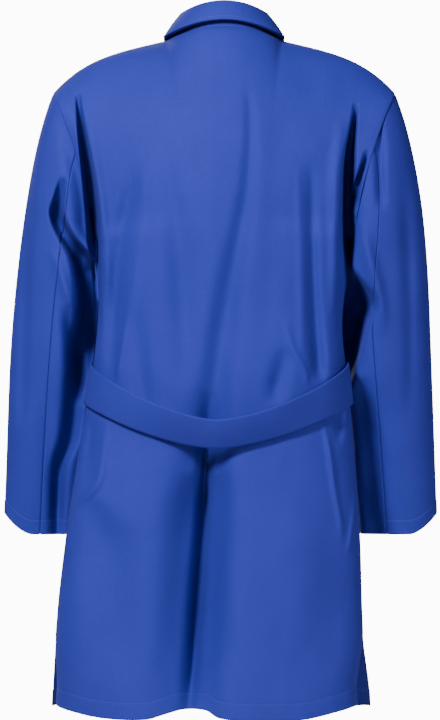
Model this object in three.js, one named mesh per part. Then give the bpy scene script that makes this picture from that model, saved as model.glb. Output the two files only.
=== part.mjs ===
// A long-sleeved work coat of cotton twill, hung as if on a body. Millimetres, +Z up.
// The wearer faces -Y, and the wearer's left is +X. Shapes are worked out with the hem at z = 0;
// the finished coat is then lowered, so that its origin is between the shoulder seams' neck ends.
import * as THREE from 'three';
import { mergeVertices } from 'three/addons/utils/BufferGeometryUtils.js';

// ---------- driving dimensions ----------
const NAPE_Z = 1012;              // centre-back neckline above the hem
const NAPE_RISE = 18;             // nape above the neck's sides
const FRONT_NECK_DROP = 79;       // neck's sides above the front neck point
const NECK_HALF = 82;             // half the neck opening's width
const NECK_BACK = 66;             // neck opening behind the shoulder seam
const NECK_FRONT = 108;           // neck opening in front of it
const SHOULDER_HALF = 252;        // centre line to the shoulder tip
const SHOULDER_SLOPE = 0.23;      // fall of the shoulder seam near the neck
const SHOULDER_ROUND = 40;        // extra fall at the tip
const ARMHOLE_HEIGHT = 216;       // shoulder tip to underarm
const ARMHOLE_HALF_DEPTH = 66;    // armhole, shoulder plane to its front or back
const CHEST_HALF = 190;           // half width at the underarm
const WAIST_HALF = 180;
const HIP_HALF = 217;
const HEM_HALF = 232;
const BACK_DEPTH = 124;           // shoulder plane to the centre back at the blades
const WAIST_BACK_DEPTH = 106;
const HEM_BACK_DEPTH = 126;
const FRONT_DEPTH = 134;          // shoulder plane to the centre front at the chest
const WAIST_FRONT_DEPTH = 126;
const HEM_FRONT_DEPTH = 140;
const HEM_SWAY = 22;              // the skirt hangs this far towards +X at the hem
const CLOTH = 1.2;                // modelled thickness of one ply
const GAP = 0.4;                  // clearance where two edges meet
const PLY_GAP = 1.1;              // clearance between plies that lie on each other
const FRONT_LAP = 22;             // each front runs this far past the centre line
const SLEEVE_DROP = 635;          // shoulder tip to the cuff's middle
const CUFF_X = 264;               // cuff's middle from the centre line
const CUFF_Y = -97;               // cuff centre, forward of the shoulder plane
const CUFF_HALF_WIDTH = 57;
const CUFF_HALF_DEPTH = 44;
const CUFF_DIP = 14;              // the cuff's edge behind and inside, below its middle
const CUFF_RISE = 30;             // how much higher its outermost point is
const SLEEVE_SWAY = 5;            // the sleeves hang this far towards +X
const SLEEVE_CLEAR = 1.4;         // sleeve head stands off the armhole edge
const COLLAR_STAND = 37;          // neckline to the fold at the nape
const COLLAR_FALL = 28;           // fold to the collar's edge at the nape
const COLLAR_POINT = 68;          // front collar edge, fold to point
const COLLAR_ROLL = 6;            // thickness of the fold's roll
const BELT_WIDTH = 53;
const BELT_SAG = 74;              // belt's middle below its ends
const BELT_LOOSE = 7;             // belt's middle off the back
const BELT_FLARE = 33;            // how far the slack top edge leans out past the bottom edge
const BELT_SPREAD = 8;            // the sewn ends are this much taller, because they are cut on a slant
const FACING_WIDTH = 60;
const FACING_INSET = 7;           // facing's edge back from the front's edge
const STUD_RADIUS = 7.5;
const STUD_THICK = 2.2;
const STUD_COUNT = 6;
const STUD_PITCH = 108;
const POCKET_WIDTH = 112;         // lower pocket, measured across the front
const POCKET_HEIGHT = 185;
const CHEST_POCKET_WIDTH = 80;
const CHEST_POCKET_HEIGHT = 98;
const POCKET_FULLNESS = 9;        // how far a pocket's mouth stands open
const FLAP_HEIGHT = 52;
const FLAP_OVERLAP = 30;          // how far a flap hangs past the pocket's mouth

// ---------- heights and depths that follow from them ----------
const NECK_SIDE_Z = NAPE_Z - NAPE_RISE;
const SHOULDER_RUN = SHOULDER_HALF - NECK_HALF;
const SHOULDER_Z = NECK_SIDE_Z - SHOULDER_SLOPE * SHOULDER_RUN - SHOULDER_ROUND;
const UNDERARM_Z = SHOULDER_Z - ARMHOLE_HEIGHT;
const ARMHOLE_MID_Z = (SHOULDER_Z + UNDERARM_Z) / 2;
const FRONT_NECK_Z = NECK_SIDE_Z - FRONT_NECK_DROP;
const WAIST_Z = 0.83 * UNDERARM_Z;
const BELT_Z = 0.7 * UNDERARM_Z;
const HIP_Z = 0.37 * UNDERARM_Z;
const BLADE_Z = UNDERARM_Z + 70;
const NECK_BLEND = 1.9 * NECK_HALF;
const SEAM_HALF_GAP = GAP / 2;
const ROUNDNESS = 2.4;            // superellipse power of the body's section
const POCKET_TOP = HIP_Z + 118;
const CHEST_POCKET_TOP = ARMHOLE_MID_Z + 21;
const STUD_TOP = FRONT_NECK_Z - 68;
const FALL_EASE = 0.06 * NECK_HALF - 2.12;   // a wider neck lays the fall over more shoulder
const COLLAR_CLEAR = 2 * (CLOTH + PLY_GAP) + FALL_EASE;

const clamp01 = (t) => Math.min(1, Math.max(0, t));
const smooth = (t) => clamp01(t) ** 2 * (3 - 2 * clamp01(t));
const range = (n) => [...Array(n).keys()];

/** Smooth value at z through [height, value] points. */
function along(points, z) {
  const last = points.length - 1;
  if (z <= points[0][0]) return points[0][1];
  if (z >= points[last][0]) return points[last][1];
  const k = points.findIndex((p) => p[0] > z) - 1;
  const slope = (i) => {
    const a = points[Math.max(0, i - 1)];
    const b = points[Math.min(last, i + 1)];
    return (b[1] - a[1]) / (b[0] - a[0]);
  };
  const [z0, a] = points[k];
  const [z1, b] = points[k + 1];
  const h = z1 - z0;
  const t = (z - z0) / h;
  const start = slope(k) * h;
  const end = slope(k + 1) * h;
  return a + t * start + t * t * (3 * (b - a) - 2 * start - end) + t ** 3 * (2 * (a - b) + start + end);
}

const WIDTHS = [
  [0, HEM_HALF], [HIP_Z, HIP_HALF], [BELT_Z - 30, WAIST_HALF + 14], [WAIST_Z, WAIST_HALF],
  [UNDERARM_Z, CHEST_HALF],
];
const BACK_DEPTHS = [[0, HEM_BACK_DEPTH], [WAIST_Z, WAIST_BACK_DEPTH], [BLADE_Z, BACK_DEPTH]];
const FRONT_DEPTHS = [[0, HEM_FRONT_DEPTH], [WAIST_Z, WAIST_FRONT_DEPTH], [BLADE_Z, FRONT_DEPTH]];
const SWAYS = [[0, HEM_SWAY], [0.21 * UNDERARM_Z, 0.95 * HEM_SWAY], [HIP_Z, 0.75 * HEM_SWAY],
  [BELT_Z, 0.34 * HEM_SWAY], [WAIST_Z, 0.27 * HEM_SWAY], [UNDERARM_Z - 10, 0]];

const sway = (z) => along(SWAYS, z);

/** The armhole's oval: c is -1 at the underarm and 1 at the shoulder tip. */
function armhole(c) {
  const middle = (SHOULDER_HALF + CHEST_HALF) / 2;
  const lean = (SHOULDER_HALF - CHEST_HALF) / 2;
  return {
    x: middle + lean * c - 9 * (1 - c * c),
    y: ARMHOLE_HALF_DEPTH * Math.sqrt(Math.max(0, 1 - c * c)),
    z: ARMHOLE_MID_Z + (ARMHOLE_HEIGHT / 2) * c,
  };
}

const armholeShare = (z) => (2 * (z - UNDERARM_Z)) / ARMHOLE_HEIGHT - 1;

function sideEdge(z) {
  if (z <= UNDERARM_Z) return { x: along(WIDTHS, z), y: 0 };
  return armhole(Math.min(1, armholeShare(z)));
}

/** Neckline and shoulder seam over a share u of the half width: height and distance from the seam plane. */
function topEdge(u, front) {
  const x = Math.abs(u) * SHOULDER_HALF;
  if (x >= NECK_HALF) {
    const t = (x - NECK_HALF) / SHOULDER_RUN;
    return { y: 0, z: NECK_SIDE_Z - SHOULDER_SLOPE * (x - NECK_HALF) - SHOULDER_ROUND * t ** 4 };
  }
  const depth = Math.sqrt(1 - (x / NECK_HALF) ** 2);
  const drop = front ? -FRONT_NECK_DROP : NAPE_RISE;
  return { y: (front ? NECK_FRONT : NECK_BACK) * depth, z: NECK_SIDE_Z + drop * depth ** 2 };
}

/** A point of the body cloth's outer face. u runs from the centre (0) to the side (1 or -1). */
function bodyPoint(front, u, sideZ) {
  const edge = sideEdge(sideZ);
  const top = topEdge(u, front);
  const rise = smooth((sideZ - UNDERARM_Z) / ARMHOLE_HEIGHT);
  const z = sideZ + (top.z - SHOULDER_Z) * rise;
  const size = Math.abs(u);
  const share = clamp01((sideZ - UNDERARM_Z) / ARMHOLE_HEIGHT);
  const open = 4 * share * (1 - share);
  const power = (1 - open) / ROUNDNESS + open;
  const full = along(front ? FRONT_DEPTHS : BACK_DEPTHS, z) * Math.max(0, 1 - size ** ROUNDNESS) ** power;
  const start = BLADE_Z - (front ? 20 : 0);
  const up = clamp01((z - start) / (top.z - start));
  const held = Math.max(0, 1 - up ** 2.2) ** 0.6;
  const neckDepth = (front ? NECK_FRONT : NECK_BACK) * (1 - smooth(size * SHOULDER_HALF / NECK_BLEND));
  const topY = neckDepth + (top.y - neckDepth) * up ** 5;
  const depth = topY + (full - topY) * held + edge.y * size ** (4 / (0.12 + open)) + SEAM_HALF_GAP;
  return new THREE.Vector3(u * edge.x + sway(z), front ? -depth : depth, z);
}

/** The outer face at a distance x from the centre line (before sway) and a height z. */
function bodyAt(front, x, z) {
  let sideZ = Math.min(z, SHOULDER_Z);
  for (const _ of range(14)) {
    const u = x / sideEdge(sideZ).x;
    const rise = smooth((sideZ - UNDERARM_Z) / ARMHOLE_HEIGHT);
    sideZ = Math.min(SHOULDER_Z, z - (topEdge(u, front).z - SHOULDER_Z) * rise);
  }
  return bodyPoint(front, x / sideEdge(sideZ).x, sideZ);
}

/** The same, moved out of the cloth by `proud`, along the cloth's outward normal. */
function offBody(front, x, z, proud) {
  const p = bodyAt(front, x, z);
  const across = bodyAt(front, x + 2, z).sub(bodyAt(front, x - 2, z));
  const up = bodyAt(front, x, z + 2).sub(bodyAt(front, x, z - 2));
  const normal = across.cross(up).normalize();
  if (normal.y > 0 === front) normal.negate();
  return { point: p.addScaledVector(normal, proud), normal };
}

// ---------- solids ----------

function gridNormal(grid, r, c) {
  const across = grid[r][Math.min(grid[0].length - 1, c + 1)].clone().sub(grid[r][Math.max(0, c - 1)]);
  const up = grid[Math.min(grid.length - 1, r + 1)][c].clone().sub(grid[Math.max(0, r - 1)][c]);
  return across.cross(up).normalize();
}

/** A closed shell of one ply from a grid of outer points; keep() may pull an inner point back. */
function shell(grid, thickness, keep = (p) => p) {
  const rows = grid.length;
  const cols = grid[0].length;
  const inner = grid.map((row, r) => row.map((p, c) =>
    keep(p.clone().addScaledVector(gridNormal(grid, r, c), -thickness))));
  const position = [...grid.flat(), ...inner.flat()].flatMap((p) => [p.x, p.y, p.z]);
  const layer = rows * cols;
  const index = [];
  const quad = (a, b, c, d) => index.push(a, b, c, a, c, d);
  for (const r of range(rows - 1)) {
    for (const c of range(cols - 1)) {
      const a = r * cols + c;
      quad(a, a + 1, a + cols + 1, a + cols);
      quad(layer + a, layer + a + cols, layer + a + cols + 1, layer + a + 1);
    }
  }
  const rim = [
    ...range(cols).map((c) => c),
    ...range(rows - 1).map((r) => (r + 2) * cols - 1),
    ...range(cols - 1).map((c) => rows * cols - 2 - c),
    ...range(rows - 2).map((r) => (rows - 2 - r) * cols),
  ];
  rim.forEach((a, k) => {
    const b = rim[(k + 1) % rim.length];
    quad(b, a, layer + a, layer + b);
  });
  const geometry = new THREE.BufferGeometry();
  geometry.setAttribute('position', new THREE.Float32BufferAttribute(position, 3));
  geometry.setIndex(index);
  return geometry;
}

const gridOf = (rows, cols, point) => rows.map((r) => cols.map((c) => point(r, c)));
const steps = (from, to, n) => range(n + 1).map((k) => from + ((to - from) * k) / n);

/** A grid whose outer side is on its right-hand side faces out; this turns it round. */
const turned = (grid) => grid.map((row) => [...row].reverse());

/** Side heights of the body grid's rows: even up to the underarm, closer towards the shoulder. */
const BODY_ROWS = [
  ...steps(0, UNDERARM_Z, 13),
  ...steps(0, Math.PI / 2, 10).slice(1).map((a) => UNDERARM_Z + ARMHOLE_HEIGHT * Math.sin(a)),
];
const NECK_SHARE = NECK_HALF / SHOULDER_HALF;
/** Shares of the half width, dense at the neck's side and at the side seam. */
const HALF_COLUMNS = [
  ...steps(0, Math.PI / 2, 5).map((a) => NECK_SHARE * Math.sin(a)),
  ...steps(0, Math.PI / 2, 8).slice(1).map((a) => NECK_SHARE + (1 - NECK_SHARE) * Math.sin(a)),
];

function backPanel() {
  const columns = [...HALF_COLUMNS.slice(1).reverse().map((u) => -u), ...HALF_COLUMNS];
  const grid = gridOf(BODY_ROWS, columns, (z, u) => bodyPoint(false, u, z));
  const keepBehindSeams = (p) => p.setY(Math.max(p.y, SEAM_HALF_GAP));
  return shell(turned(grid), CLOTH, keepBehindSeams);
}

/** How far the right front lies under the left one, at a signed distance from the centre. */
const LAP_STEP = 2 * (CLOTH + PLY_GAP);
const underLap = (side, x) => (side < 0 ? LAP_STEP * smooth((x + FRONT_LAP + 38) / 30) : 0);

function frontPanel(side) {
  const lap = FRONT_LAP / SHOULDER_HALF;
  const columns = [-lap, -lap / 2, ...HALF_COLUMNS];
  const grid = gridOf(BODY_ROWS, columns, (z, share) => {
    const p = bodyPoint(true, side * share, z);
    if (share < 0) p.x = sway(p.z) + side * share * SHOULDER_HALF;
    p.y += underLap(side, side < 0 ? p.x - sway(p.z) : 0);
    return p;
  });
  const keepBeforeSeams = (p) => p.setY(Math.min(p.y, -SEAM_HALF_GAP));
  return shell(side > 0 ? grid : turned(grid), CLOTH, keepBeforeSeams);
}

/** The strip inside a front's edge. */
function facing(side) {
  const across = steps(-FRONT_LAP + FACING_INSET, FACING_WIDTH - FRONT_LAP, 4);
  const heights = steps(4, FRONT_NECK_Z - 55, 22);
  const grid = gridOf(heights, across, (z, x) =>
    offBody(true, side * x, z, -(underLap(side, side * x) + CLOTH + PLY_GAP)).point);
  return shell(side > 0 ? grid : turned(grid), CLOTH);
}

function backNeckFacing() {
  const columns = steps(-0.9, 0.9, 14);
  const grid = gridOf(steps(52, 3, 3), columns, (down, share) => {
    const x = NECK_HALF * Math.sin((share * Math.PI) / 2);
    const top = topEdge(x / SHOULDER_HALF, false);
    return offBody(false, 0.97 * x, top.z - down, -(CLOTH + PLY_GAP + 1)).point;
  });
  return shell(turned(grid), CLOTH);
}

// ---------- sleeves ----------
const CUFF_Z = SHOULDER_Z - SLEEVE_DROP;

/** A point of a sleeve's outer face: angle 0 is outermost, 90 degrees is at the back. */
function sleevePoint(side, angle, v) {
  const c = Math.cos(angle);
  const s = Math.sin(angle);
  const head = armhole(c);
  const from = new THREE.Vector3(head.x + SLEEVE_CLEAR, Math.sign(s) * head.y, head.z);
  const to = new THREE.Vector3(
    CUFF_X + CUFF_HALF_WIDTH * c, CUFF_Y + CUFF_HALF_DEPTH * s, CUFF_Z - CUFF_DIP + CUFF_RISE * clamp01((c - 0.25) / 0.75) ** 1.7);
  const leave = new THREE.Vector3(75 + 105 * c, 25 * s - 15 * (1 - c), -(400 + 50 * c));
  const arrive = new THREE.Vector3(35 - 5 * c, -110, -(525 + 75 * c));
  const t = 0.004 + 0.996 * v;
  const p = from.multiplyScalar(2 * t ** 3 - 3 * t ** 2 + 1)
    .addScaledVector(leave, t ** 3 - 2 * t ** 2 + t)
    .addScaledVector(to, 3 * t ** 2 - 2 * t ** 3)
    .addScaledVector(arrive, t ** 3 - t ** 2);
  p.x = side * p.x + SLEEVE_SWAY * (1 - smooth((p.z - BELT_Z) / 300));
  return p;
}

const degrees = (d) => (d * Math.PI) / 180;
const FRONT_SEAM = 250;
const SEAM_ANGLE = 0.4;
const backSeam = (side, v) => (side > 0 ? 79 + 8 * v : 75 + 34 * smooth(2.2 * v));

function sleevePanel(side, upper) {
  const along01 = steps(0, 1, 15);
  const grid = gridOf(along01, steps(0, 1, upper ? 13 : 11), (v, share) => {
    const start = upper ? FRONT_SEAM - 360 + SEAM_ANGLE : backSeam(side, v) + SEAM_ANGLE;
    const end = upper ? backSeam(side, v) - SEAM_ANGLE : FRONT_SEAM - SEAM_ANGLE;
    return sleevePoint(side, degrees(start + (end - start) * share), v);
  });
  return shell(side > 0 ? turned(grid) : grid, CLOTH);
}

// ---------- collar ----------

/** Rings round the neck: turn 0 is the nape, 90 degrees is at the shoulder, 180 the front. */
function ring(turn, nape, shoulder, frontEnd) {
  const c = Math.cos(turn);
  const s = Math.sin(turn);
  const end = c > 0 ? nape : frontEnd;
  return new THREE.Vector3(
    Math.abs(s) * shoulder.x + (c < 0 ? c * c * frontEnd.x : 0),
    shoulder.y + Math.abs(c) * (end.y - shoulder.y),
    shoulder.z + c * c * (end.z - shoulder.z));
}

const FOLD_Z = NAPE_Z + COLLAR_STAND;
const STAND_CLEAR = 2.6;

function neckRing(turn) {
  return ring(turn, { y: NECK_BACK, z: NAPE_Z + STAND_CLEAR },
    { x: NECK_HALF - 2, y: 0, z: NECK_SIDE_Z + STAND_CLEAR },
    { x: 3, y: -NECK_FRONT + 3, z: FRONT_NECK_Z + STAND_CLEAR });
}

function foldRing(turn) {
  return ring(turn, { y: NECK_BACK - 6, z: FOLD_Z }, { x: NECK_HALF - 16, y: 2, z: FOLD_Z - 18 },
    { x: 8, y: -NECK_FRONT - 10, z: FRONT_NECK_Z + 12 });
}

/** The stand's upper edge, inside the fold by the collar's roll. */
function standRing(turn) {
  const p = foldRing(turn);
  const centre = new THREE.Vector3(0, -20, p.z);
  return p.add(centre.sub(p).setLength(COLLAR_ROLL)).add(new THREE.Vector3(0, 0, -3));
}

function edgeRing(turn) {
  return ring(turn, { y: NECK_BACK + 10, z: FOLD_Z - COLLAR_FALL },
    { x: NECK_HALF + 7, y: 3, z: NECK_SIDE_Z + 4 },
    { x: 30, y: -NECK_FRONT - 14, z: FRONT_NECK_Z + 12 - COLLAR_POINT });
}

/** The fall's outer face, from its edge (share 0) to the fold (1), kept clear of the fronts. */
function fallPoint(turn, share) {
  const p = edgeRing(turn).lerp(foldRing(turn), share);
  const neckZ = topEdge(p.x / SHOULDER_HALF, true).z;
  if (turn < Math.PI / 2) return p;
  const { point, normal } = offBody(true, p.x, Math.min(p.z, neckZ - 2), 0);
  const short = COLLAR_CLEAR - p.clone().sub(point).dot(normal);
  return p.addScaledVector(normal, Math.max(0, short));
}

const standPoint = (turn, share) => neckRing(turn).lerp(standRing(turn), share);

/** A strip of the collar, moved in by `inset` so that it can lie under another one. */
function collarStrip(point, shares, inset) {
  const turns = steps(-1, 1, 32).map((k) => k * degrees(171));
  const grid = turned(gridOf(shares, turns, (share, turn) => {
    const p = point(Math.abs(turn), share);
    p.x *= Math.sign(turn);
    return p;
  }));
  const moved = grid.map((row, r) => row.map((p, c) =>
    p.clone().addScaledVector(gridNormal(grid, r, c), -inset)));
  return shell(moved, CLOTH);
}

// ---------- belt, pockets, flaps, studs ----------

/** The half belt: s runs from one side seam (-1) to the other (1). */
function backBelt() {
  const grid = gridOf([-0.5, 0.5], steps(-1, 1, 26), (half, s) => {
    const slack = 1 - s * s;
    const flare = BELT_FLARE * slack * slack;
    const tall = Math.sqrt(BELT_WIDTH ** 2 - flare ** 2) + BELT_SPREAD * Math.abs(s);
    const share = Math.sin((s * Math.PI) / 2);
    const z = BELT_Z - BELT_SAG * (1 - Math.abs(share) ** 1.6) + tall * half;
    const x = share * sideEdge(z).x;
    const proud = 2 * CLOTH + PLY_GAP + BELT_LOOSE * slack + flare * (half + 0.5);
    const off = offBody(false, Math.sign(x) * Math.min(Math.abs(x), sideEdge(z).x - 0.01), z, proud);
    off.point.y = Math.max(off.point.y, 1.5);
    return off.point;
  });
  return shell(turned(grid), 2 * CLOTH);
}

const PATCH_CLEAR = 0.3;

/** A patch pocket on a front, from its inner edge x0, open along its top. */
function patchPocket(side, x0, width, top, height) {
  const grid = gridOf(steps(0, 1, 6), steps(0, 1, 7), (v, u) => {
    const x = x0 + width * u;
    const fullness = POCKET_FULLNESS * smooth(1.35 * v) * Math.sin(Math.PI * u) ** 0.7;
    return offBody(true, side * x, top - height * (1 - v), CLOTH + PLY_GAP + PATCH_CLEAR + fullness).point;
  });
  return shell(side > 0 ? grid : turned(grid), CLOTH);
}

const FLAP_PLY = 1.6;
const FLAP_CLEAR = 1.3;

/** A flap over a pocket's mouth, sewn down along its top edge. */
function flap(side, x0, width, pocketTop) {
  const top = pocketTop + FLAP_HEIGHT - FLAP_OVERLAP;
  const above = (FLAP_HEIGHT - FLAP_OVERLAP) / FLAP_HEIGHT;
  const grid = gridOf(steps(0, 1, 4), steps(-0.03, 1.03, 7), (v, u) => {
    const fullness = POCKET_FULLNESS * Math.sin(Math.PI * clamp01(u)) ** 0.7 + CLOTH + PLY_GAP;
    const lift = FLAP_PLY + FLAP_CLEAR + PLY_GAP + fullness * smooth((1 - v) / (0.9 * above));
    return offBody(true, side * (x0 + width * u), top - FLAP_HEIGHT * (1 - v), lift).point;
  });
  return shell(side > 0 ? grid : turned(grid), FLAP_PLY);
}

/** A round stud part, its base `lift` outside the cloth at (x, z). */
function stud(front, x, z, lift, thickness, radius) {
  const { point, normal } = offBody(front, x, z, lift);
  const profile = [
    new THREE.Vector2(0, 0), new THREE.Vector2(radius, 0), new THREE.Vector2(radius, 0.5 * thickness),
    new THREE.Vector2(0.7 * radius, thickness), new THREE.Vector2(0, thickness),
  ];
  const geometry = new THREE.LatheGeometry(profile, 14);
  geometry.applyQuaternion(new THREE.Quaternion().setFromUnitVectors(new THREE.Vector3(0, 1, 0), normal));
  geometry.translate(point.x, point.y, point.z);
  return geometry;
}

/** The loop inside the back neck: a U of flat tape, its ends at the neck facing. */
const LOOP_HALF = 34;
const LOOP_DROP = 24;
const LOOP_TAPE = 4;
const LOOP_TOP = NAPE_Z - 10;
const LOOP_Y = offBody(false, LOOP_HALF, LOOP_TOP, -(2 * CLOTH + PLY_GAP)).point.y - 6;

function hangerLoop() {
  const low = LOOP_TOP - LOOP_DROP;
  const outline = (half, top, bottom, slant) => [
    [-half, top], [-half + slant, bottom], [half - slant, bottom], [half, top]];
  const outer = outline(LOOP_HALF, LOOP_TOP, low, 8);
  const inner = outline(LOOP_HALF - LOOP_TAPE, LOOP_TOP, low + LOOP_TAPE, 8).reverse();
  const shape = new THREE.Shape([...outer, ...inner].map(([x, z]) => new THREE.Vector2(x, z)));
  const geometry = new THREE.ExtrudeGeometry(shape, { depth: LOOP_TAPE, bevelEnabled: false });
  geometry.rotateX(Math.PI / 2);
  geometry.translate(0, LOOP_Y, 0);
  return geometry;
}

function neckLabel() {
  const top = LOOP_TOP - LOOP_DROP - 12;
  const grid = gridOf(steps(top - 24, top, 2), steps(-22, 22, 4), (z, x) =>
    offBody(false, x, z, -(2 * CLOTH + 2 * PLY_GAP + 1)).point);
  return shell(turned(grid), 0.8);
}

// ---------- assembly ----------
const coat = new THREE.Group();
coat.position.z = -NECK_SIDE_Z;

function cloth(colour, roughness) {
  return new THREE.MeshStandardMaterial({ color: colour, roughness, metalness: 0 });
}

function add(name, geometry, material) {
  geometry.deleteAttribute('normal');
  geometry.deleteAttribute('uv');
  const mesh = new THREE.Mesh(mergeVertices(geometry, 1e-4), material);
  mesh.name = name;
  coat.add(mesh);
}

const twill = cloth(0x2f55bc, 0.85);
const facingCloth = cloth(0x274aa8, 0.88);
const labelCloth = cloth(0xe8e8e4, 0.7);
const steel = new THREE.MeshStandardMaterial({ color: 0xb9bcc0, roughness: 0.3, metalness: 1 });

add('back_panel', backPanel(), twill);
add('back_neck_facing', backNeckFacing(), facingCloth);
add('collar_stand', collarStrip(standPoint, steps(0, 1, 3), 0), twill);
add('under_collar', collarStrip(fallPoint, steps(0.08, 0.96, 4), CLOTH + PLY_GAP + 1.2), facingCloth);
add('upper_collar', collarStrip(fallPoint, steps(0, 1, 4), 0), twill);
add('back_belt', backBelt(), twill);
add('hanger_loop', hangerLoop(), facingCloth);
add('neck_label', neckLabel(), labelCloth);

const LOWER_POCKET_X = 36;
const CHEST_POCKET_X = 58;
for (const [word, side] of [['left', 1], ['right', -1]]) {
  add(`${word}_front`, frontPanel(side), twill);
  add(`${word}_facing`, facing(side), facingCloth);
  add(`${word}_upper_sleeve`, sleevePanel(side, true), twill);
  add(`${word}_under_sleeve`, sleevePanel(side, false), twill);
  add(`${word}_lower_pocket`, patchPocket(side, LOWER_POCKET_X, POCKET_WIDTH, POCKET_TOP, POCKET_HEIGHT), twill);
  add(`${word}_pocket_flap`, flap(side, LOWER_POCKET_X, POCKET_WIDTH, POCKET_TOP), twill);
}
add('chest_pocket', patchPocket(1, CHEST_POCKET_X, CHEST_POCKET_WIDTH, CHEST_POCKET_TOP, CHEST_POCKET_HEIGHT), twill);
add('chest_flap', flap(1, CHEST_POCKET_X, CHEST_POCKET_WIDTH, CHEST_POCKET_TOP), twill);

const SOCKET_LIFT = -(LAP_STEP + 2 * CLOTH + 2 * PLY_GAP);
for (const k of range(STUD_COUNT)) {
  const z = STUD_TOP - k * STUD_PITCH;
  add(`stud_cap_${k + 1}`, stud(true, 0, z, PLY_GAP - GAP, STUD_THICK, STUD_RADIUS), steel);
  add(`stud_socket_${k + 1}`, stud(true, 0, z, SOCKET_LIFT - STUD_THICK, STUD_THICK, STUD_RADIUS - 1), steel);
}
const flapStuds = [
  ['left_flap_stud', LOWER_POCKET_X + POCKET_WIDTH / 2, POCKET_TOP],
  ['right_flap_stud', -(LOWER_POCKET_X + POCKET_WIDTH / 2), POCKET_TOP],
  ['chest_flap_stud', CHEST_POCKET_X + CHEST_POCKET_WIDTH / 2, CHEST_POCKET_TOP],
];
const FLAP_STUD_LIFT = POCKET_FULLNESS + FLAP_PLY + FLAP_CLEAR + CLOTH + 2 * PLY_GAP + GAP;
for (const [name, x, pocketTop] of flapStuds) {
  add(name, stud(true, x, pocketTop - 0.55 * FLAP_OVERLAP, FLAP_STUD_LIFT, STUD_THICK, STUD_RADIUS - 1), steel);
}

export default coat;
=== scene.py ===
"""A long-sleeved twill work coat, hung as if on a body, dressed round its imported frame.

Metres, +Z up, the wearer faces -Y and the wearer's left is +X. The coat is drafted with its hem
at z = 0, like a pattern, and every finished mesh is lowered by NECK_SIDE_Z into the frame.
"""
import math

import bpy
import numpy as np
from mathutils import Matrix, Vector


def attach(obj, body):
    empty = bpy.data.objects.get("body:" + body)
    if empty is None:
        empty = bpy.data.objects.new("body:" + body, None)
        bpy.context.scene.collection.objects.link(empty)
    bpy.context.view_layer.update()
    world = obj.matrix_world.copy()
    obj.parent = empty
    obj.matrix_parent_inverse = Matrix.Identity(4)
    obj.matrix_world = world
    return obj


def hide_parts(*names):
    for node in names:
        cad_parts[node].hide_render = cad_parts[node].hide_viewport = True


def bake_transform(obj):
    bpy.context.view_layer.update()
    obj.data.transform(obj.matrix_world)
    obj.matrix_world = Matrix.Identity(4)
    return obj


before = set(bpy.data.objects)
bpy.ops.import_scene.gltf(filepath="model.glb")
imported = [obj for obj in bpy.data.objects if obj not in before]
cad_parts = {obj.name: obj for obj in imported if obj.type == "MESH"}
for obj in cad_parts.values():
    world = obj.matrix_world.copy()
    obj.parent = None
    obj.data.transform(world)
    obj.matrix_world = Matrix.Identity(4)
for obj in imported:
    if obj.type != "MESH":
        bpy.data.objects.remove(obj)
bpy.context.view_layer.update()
MM = 0.001

# ---------- the draft's sizes ----------
NAPE_Z = 1.012
NAPE_RISE = 0.018
FRONT_NECK_DROP = 0.079
NECK_HALF = 0.082
NECK_BACK = 0.066
NECK_FRONT = 0.108
SHOULDER_HALF = 0.252
SHOULDER_SLOPE = 0.23
SHOULDER_ROUND = 0.040
ARMHOLE_HEIGHT = 0.216
ARMHOLE_HALF_DEPTH = 0.066
CHEST_HALF = 0.190
WAIST_HALF = 0.180
HIP_HALF = 0.217
HEM_HALF = 0.232
BACK_DEPTH, WAIST_BACK_DEPTH, HEM_BACK_DEPTH = 0.124, 0.106, 0.126
FRONT_DEPTH, WAIST_FRONT_DEPTH, HEM_FRONT_DEPTH = 0.134, 0.126, 0.140
HEM_SWAY = 0.022
CLOTH = 1.2 * MM
PLY_GAP = 1.1 * MM
SEAM_HALF_GAP = 0.2 * MM
FRONT_LAP = 0.022
SLEEVE_DROP = 0.635
CUFF_X, CUFF_Y = 0.264, -0.097
CUFF_HALF_WIDTH, CUFF_HALF_DEPTH = 0.057, 0.044
CUFF_DIP, CUFF_RISE = 0.014, 0.030
SLEEVE_SWAY = 0.005
SLEEVE_TUCK = 0.4 * MM         # the sleeve's head runs this far under the armhole's edge
COLLAR_STAND, COLLAR_FALL, COLLAR_POINT, COLLAR_ROLL = 0.037, 0.028, 0.068, 0.006
STAND_TUCK = 4 * MM            # the stand's lower edge runs this far inside the neckline
BELT_WIDTH, BELT_SAG, BELT_LOOSE = 0.053, 0.074, 0.007
BELT_FLARE, BELT_SPREAD = 0.033, 0.008
FACING_WIDTH, FACING_INSET = 0.060, 0.007
STUD_RADIUS, STUD_THICK, STUD_COUNT, STUD_PITCH = 0.0075, 2.2 * MM, 6, 0.108
POCKET_WIDTH, POCKET_HEIGHT = 0.112, 0.185
CHEST_POCKET_WIDTH, CHEST_POCKET_HEIGHT = 0.080, 0.098
POCKET_FULLNESS = 0.009
FLAP_HEIGHT, FLAP_OVERLAP = 0.052, 0.030
FLAP_PLY, FLAP_CLEAR, PATCH_CLEAR = 1.6 * MM, 1.3 * MM, 0.3 * MM
LOWER_POCKET_X, CHEST_POCKET_X = 0.036, 0.058
ROUNDNESS = 2.4

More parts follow.
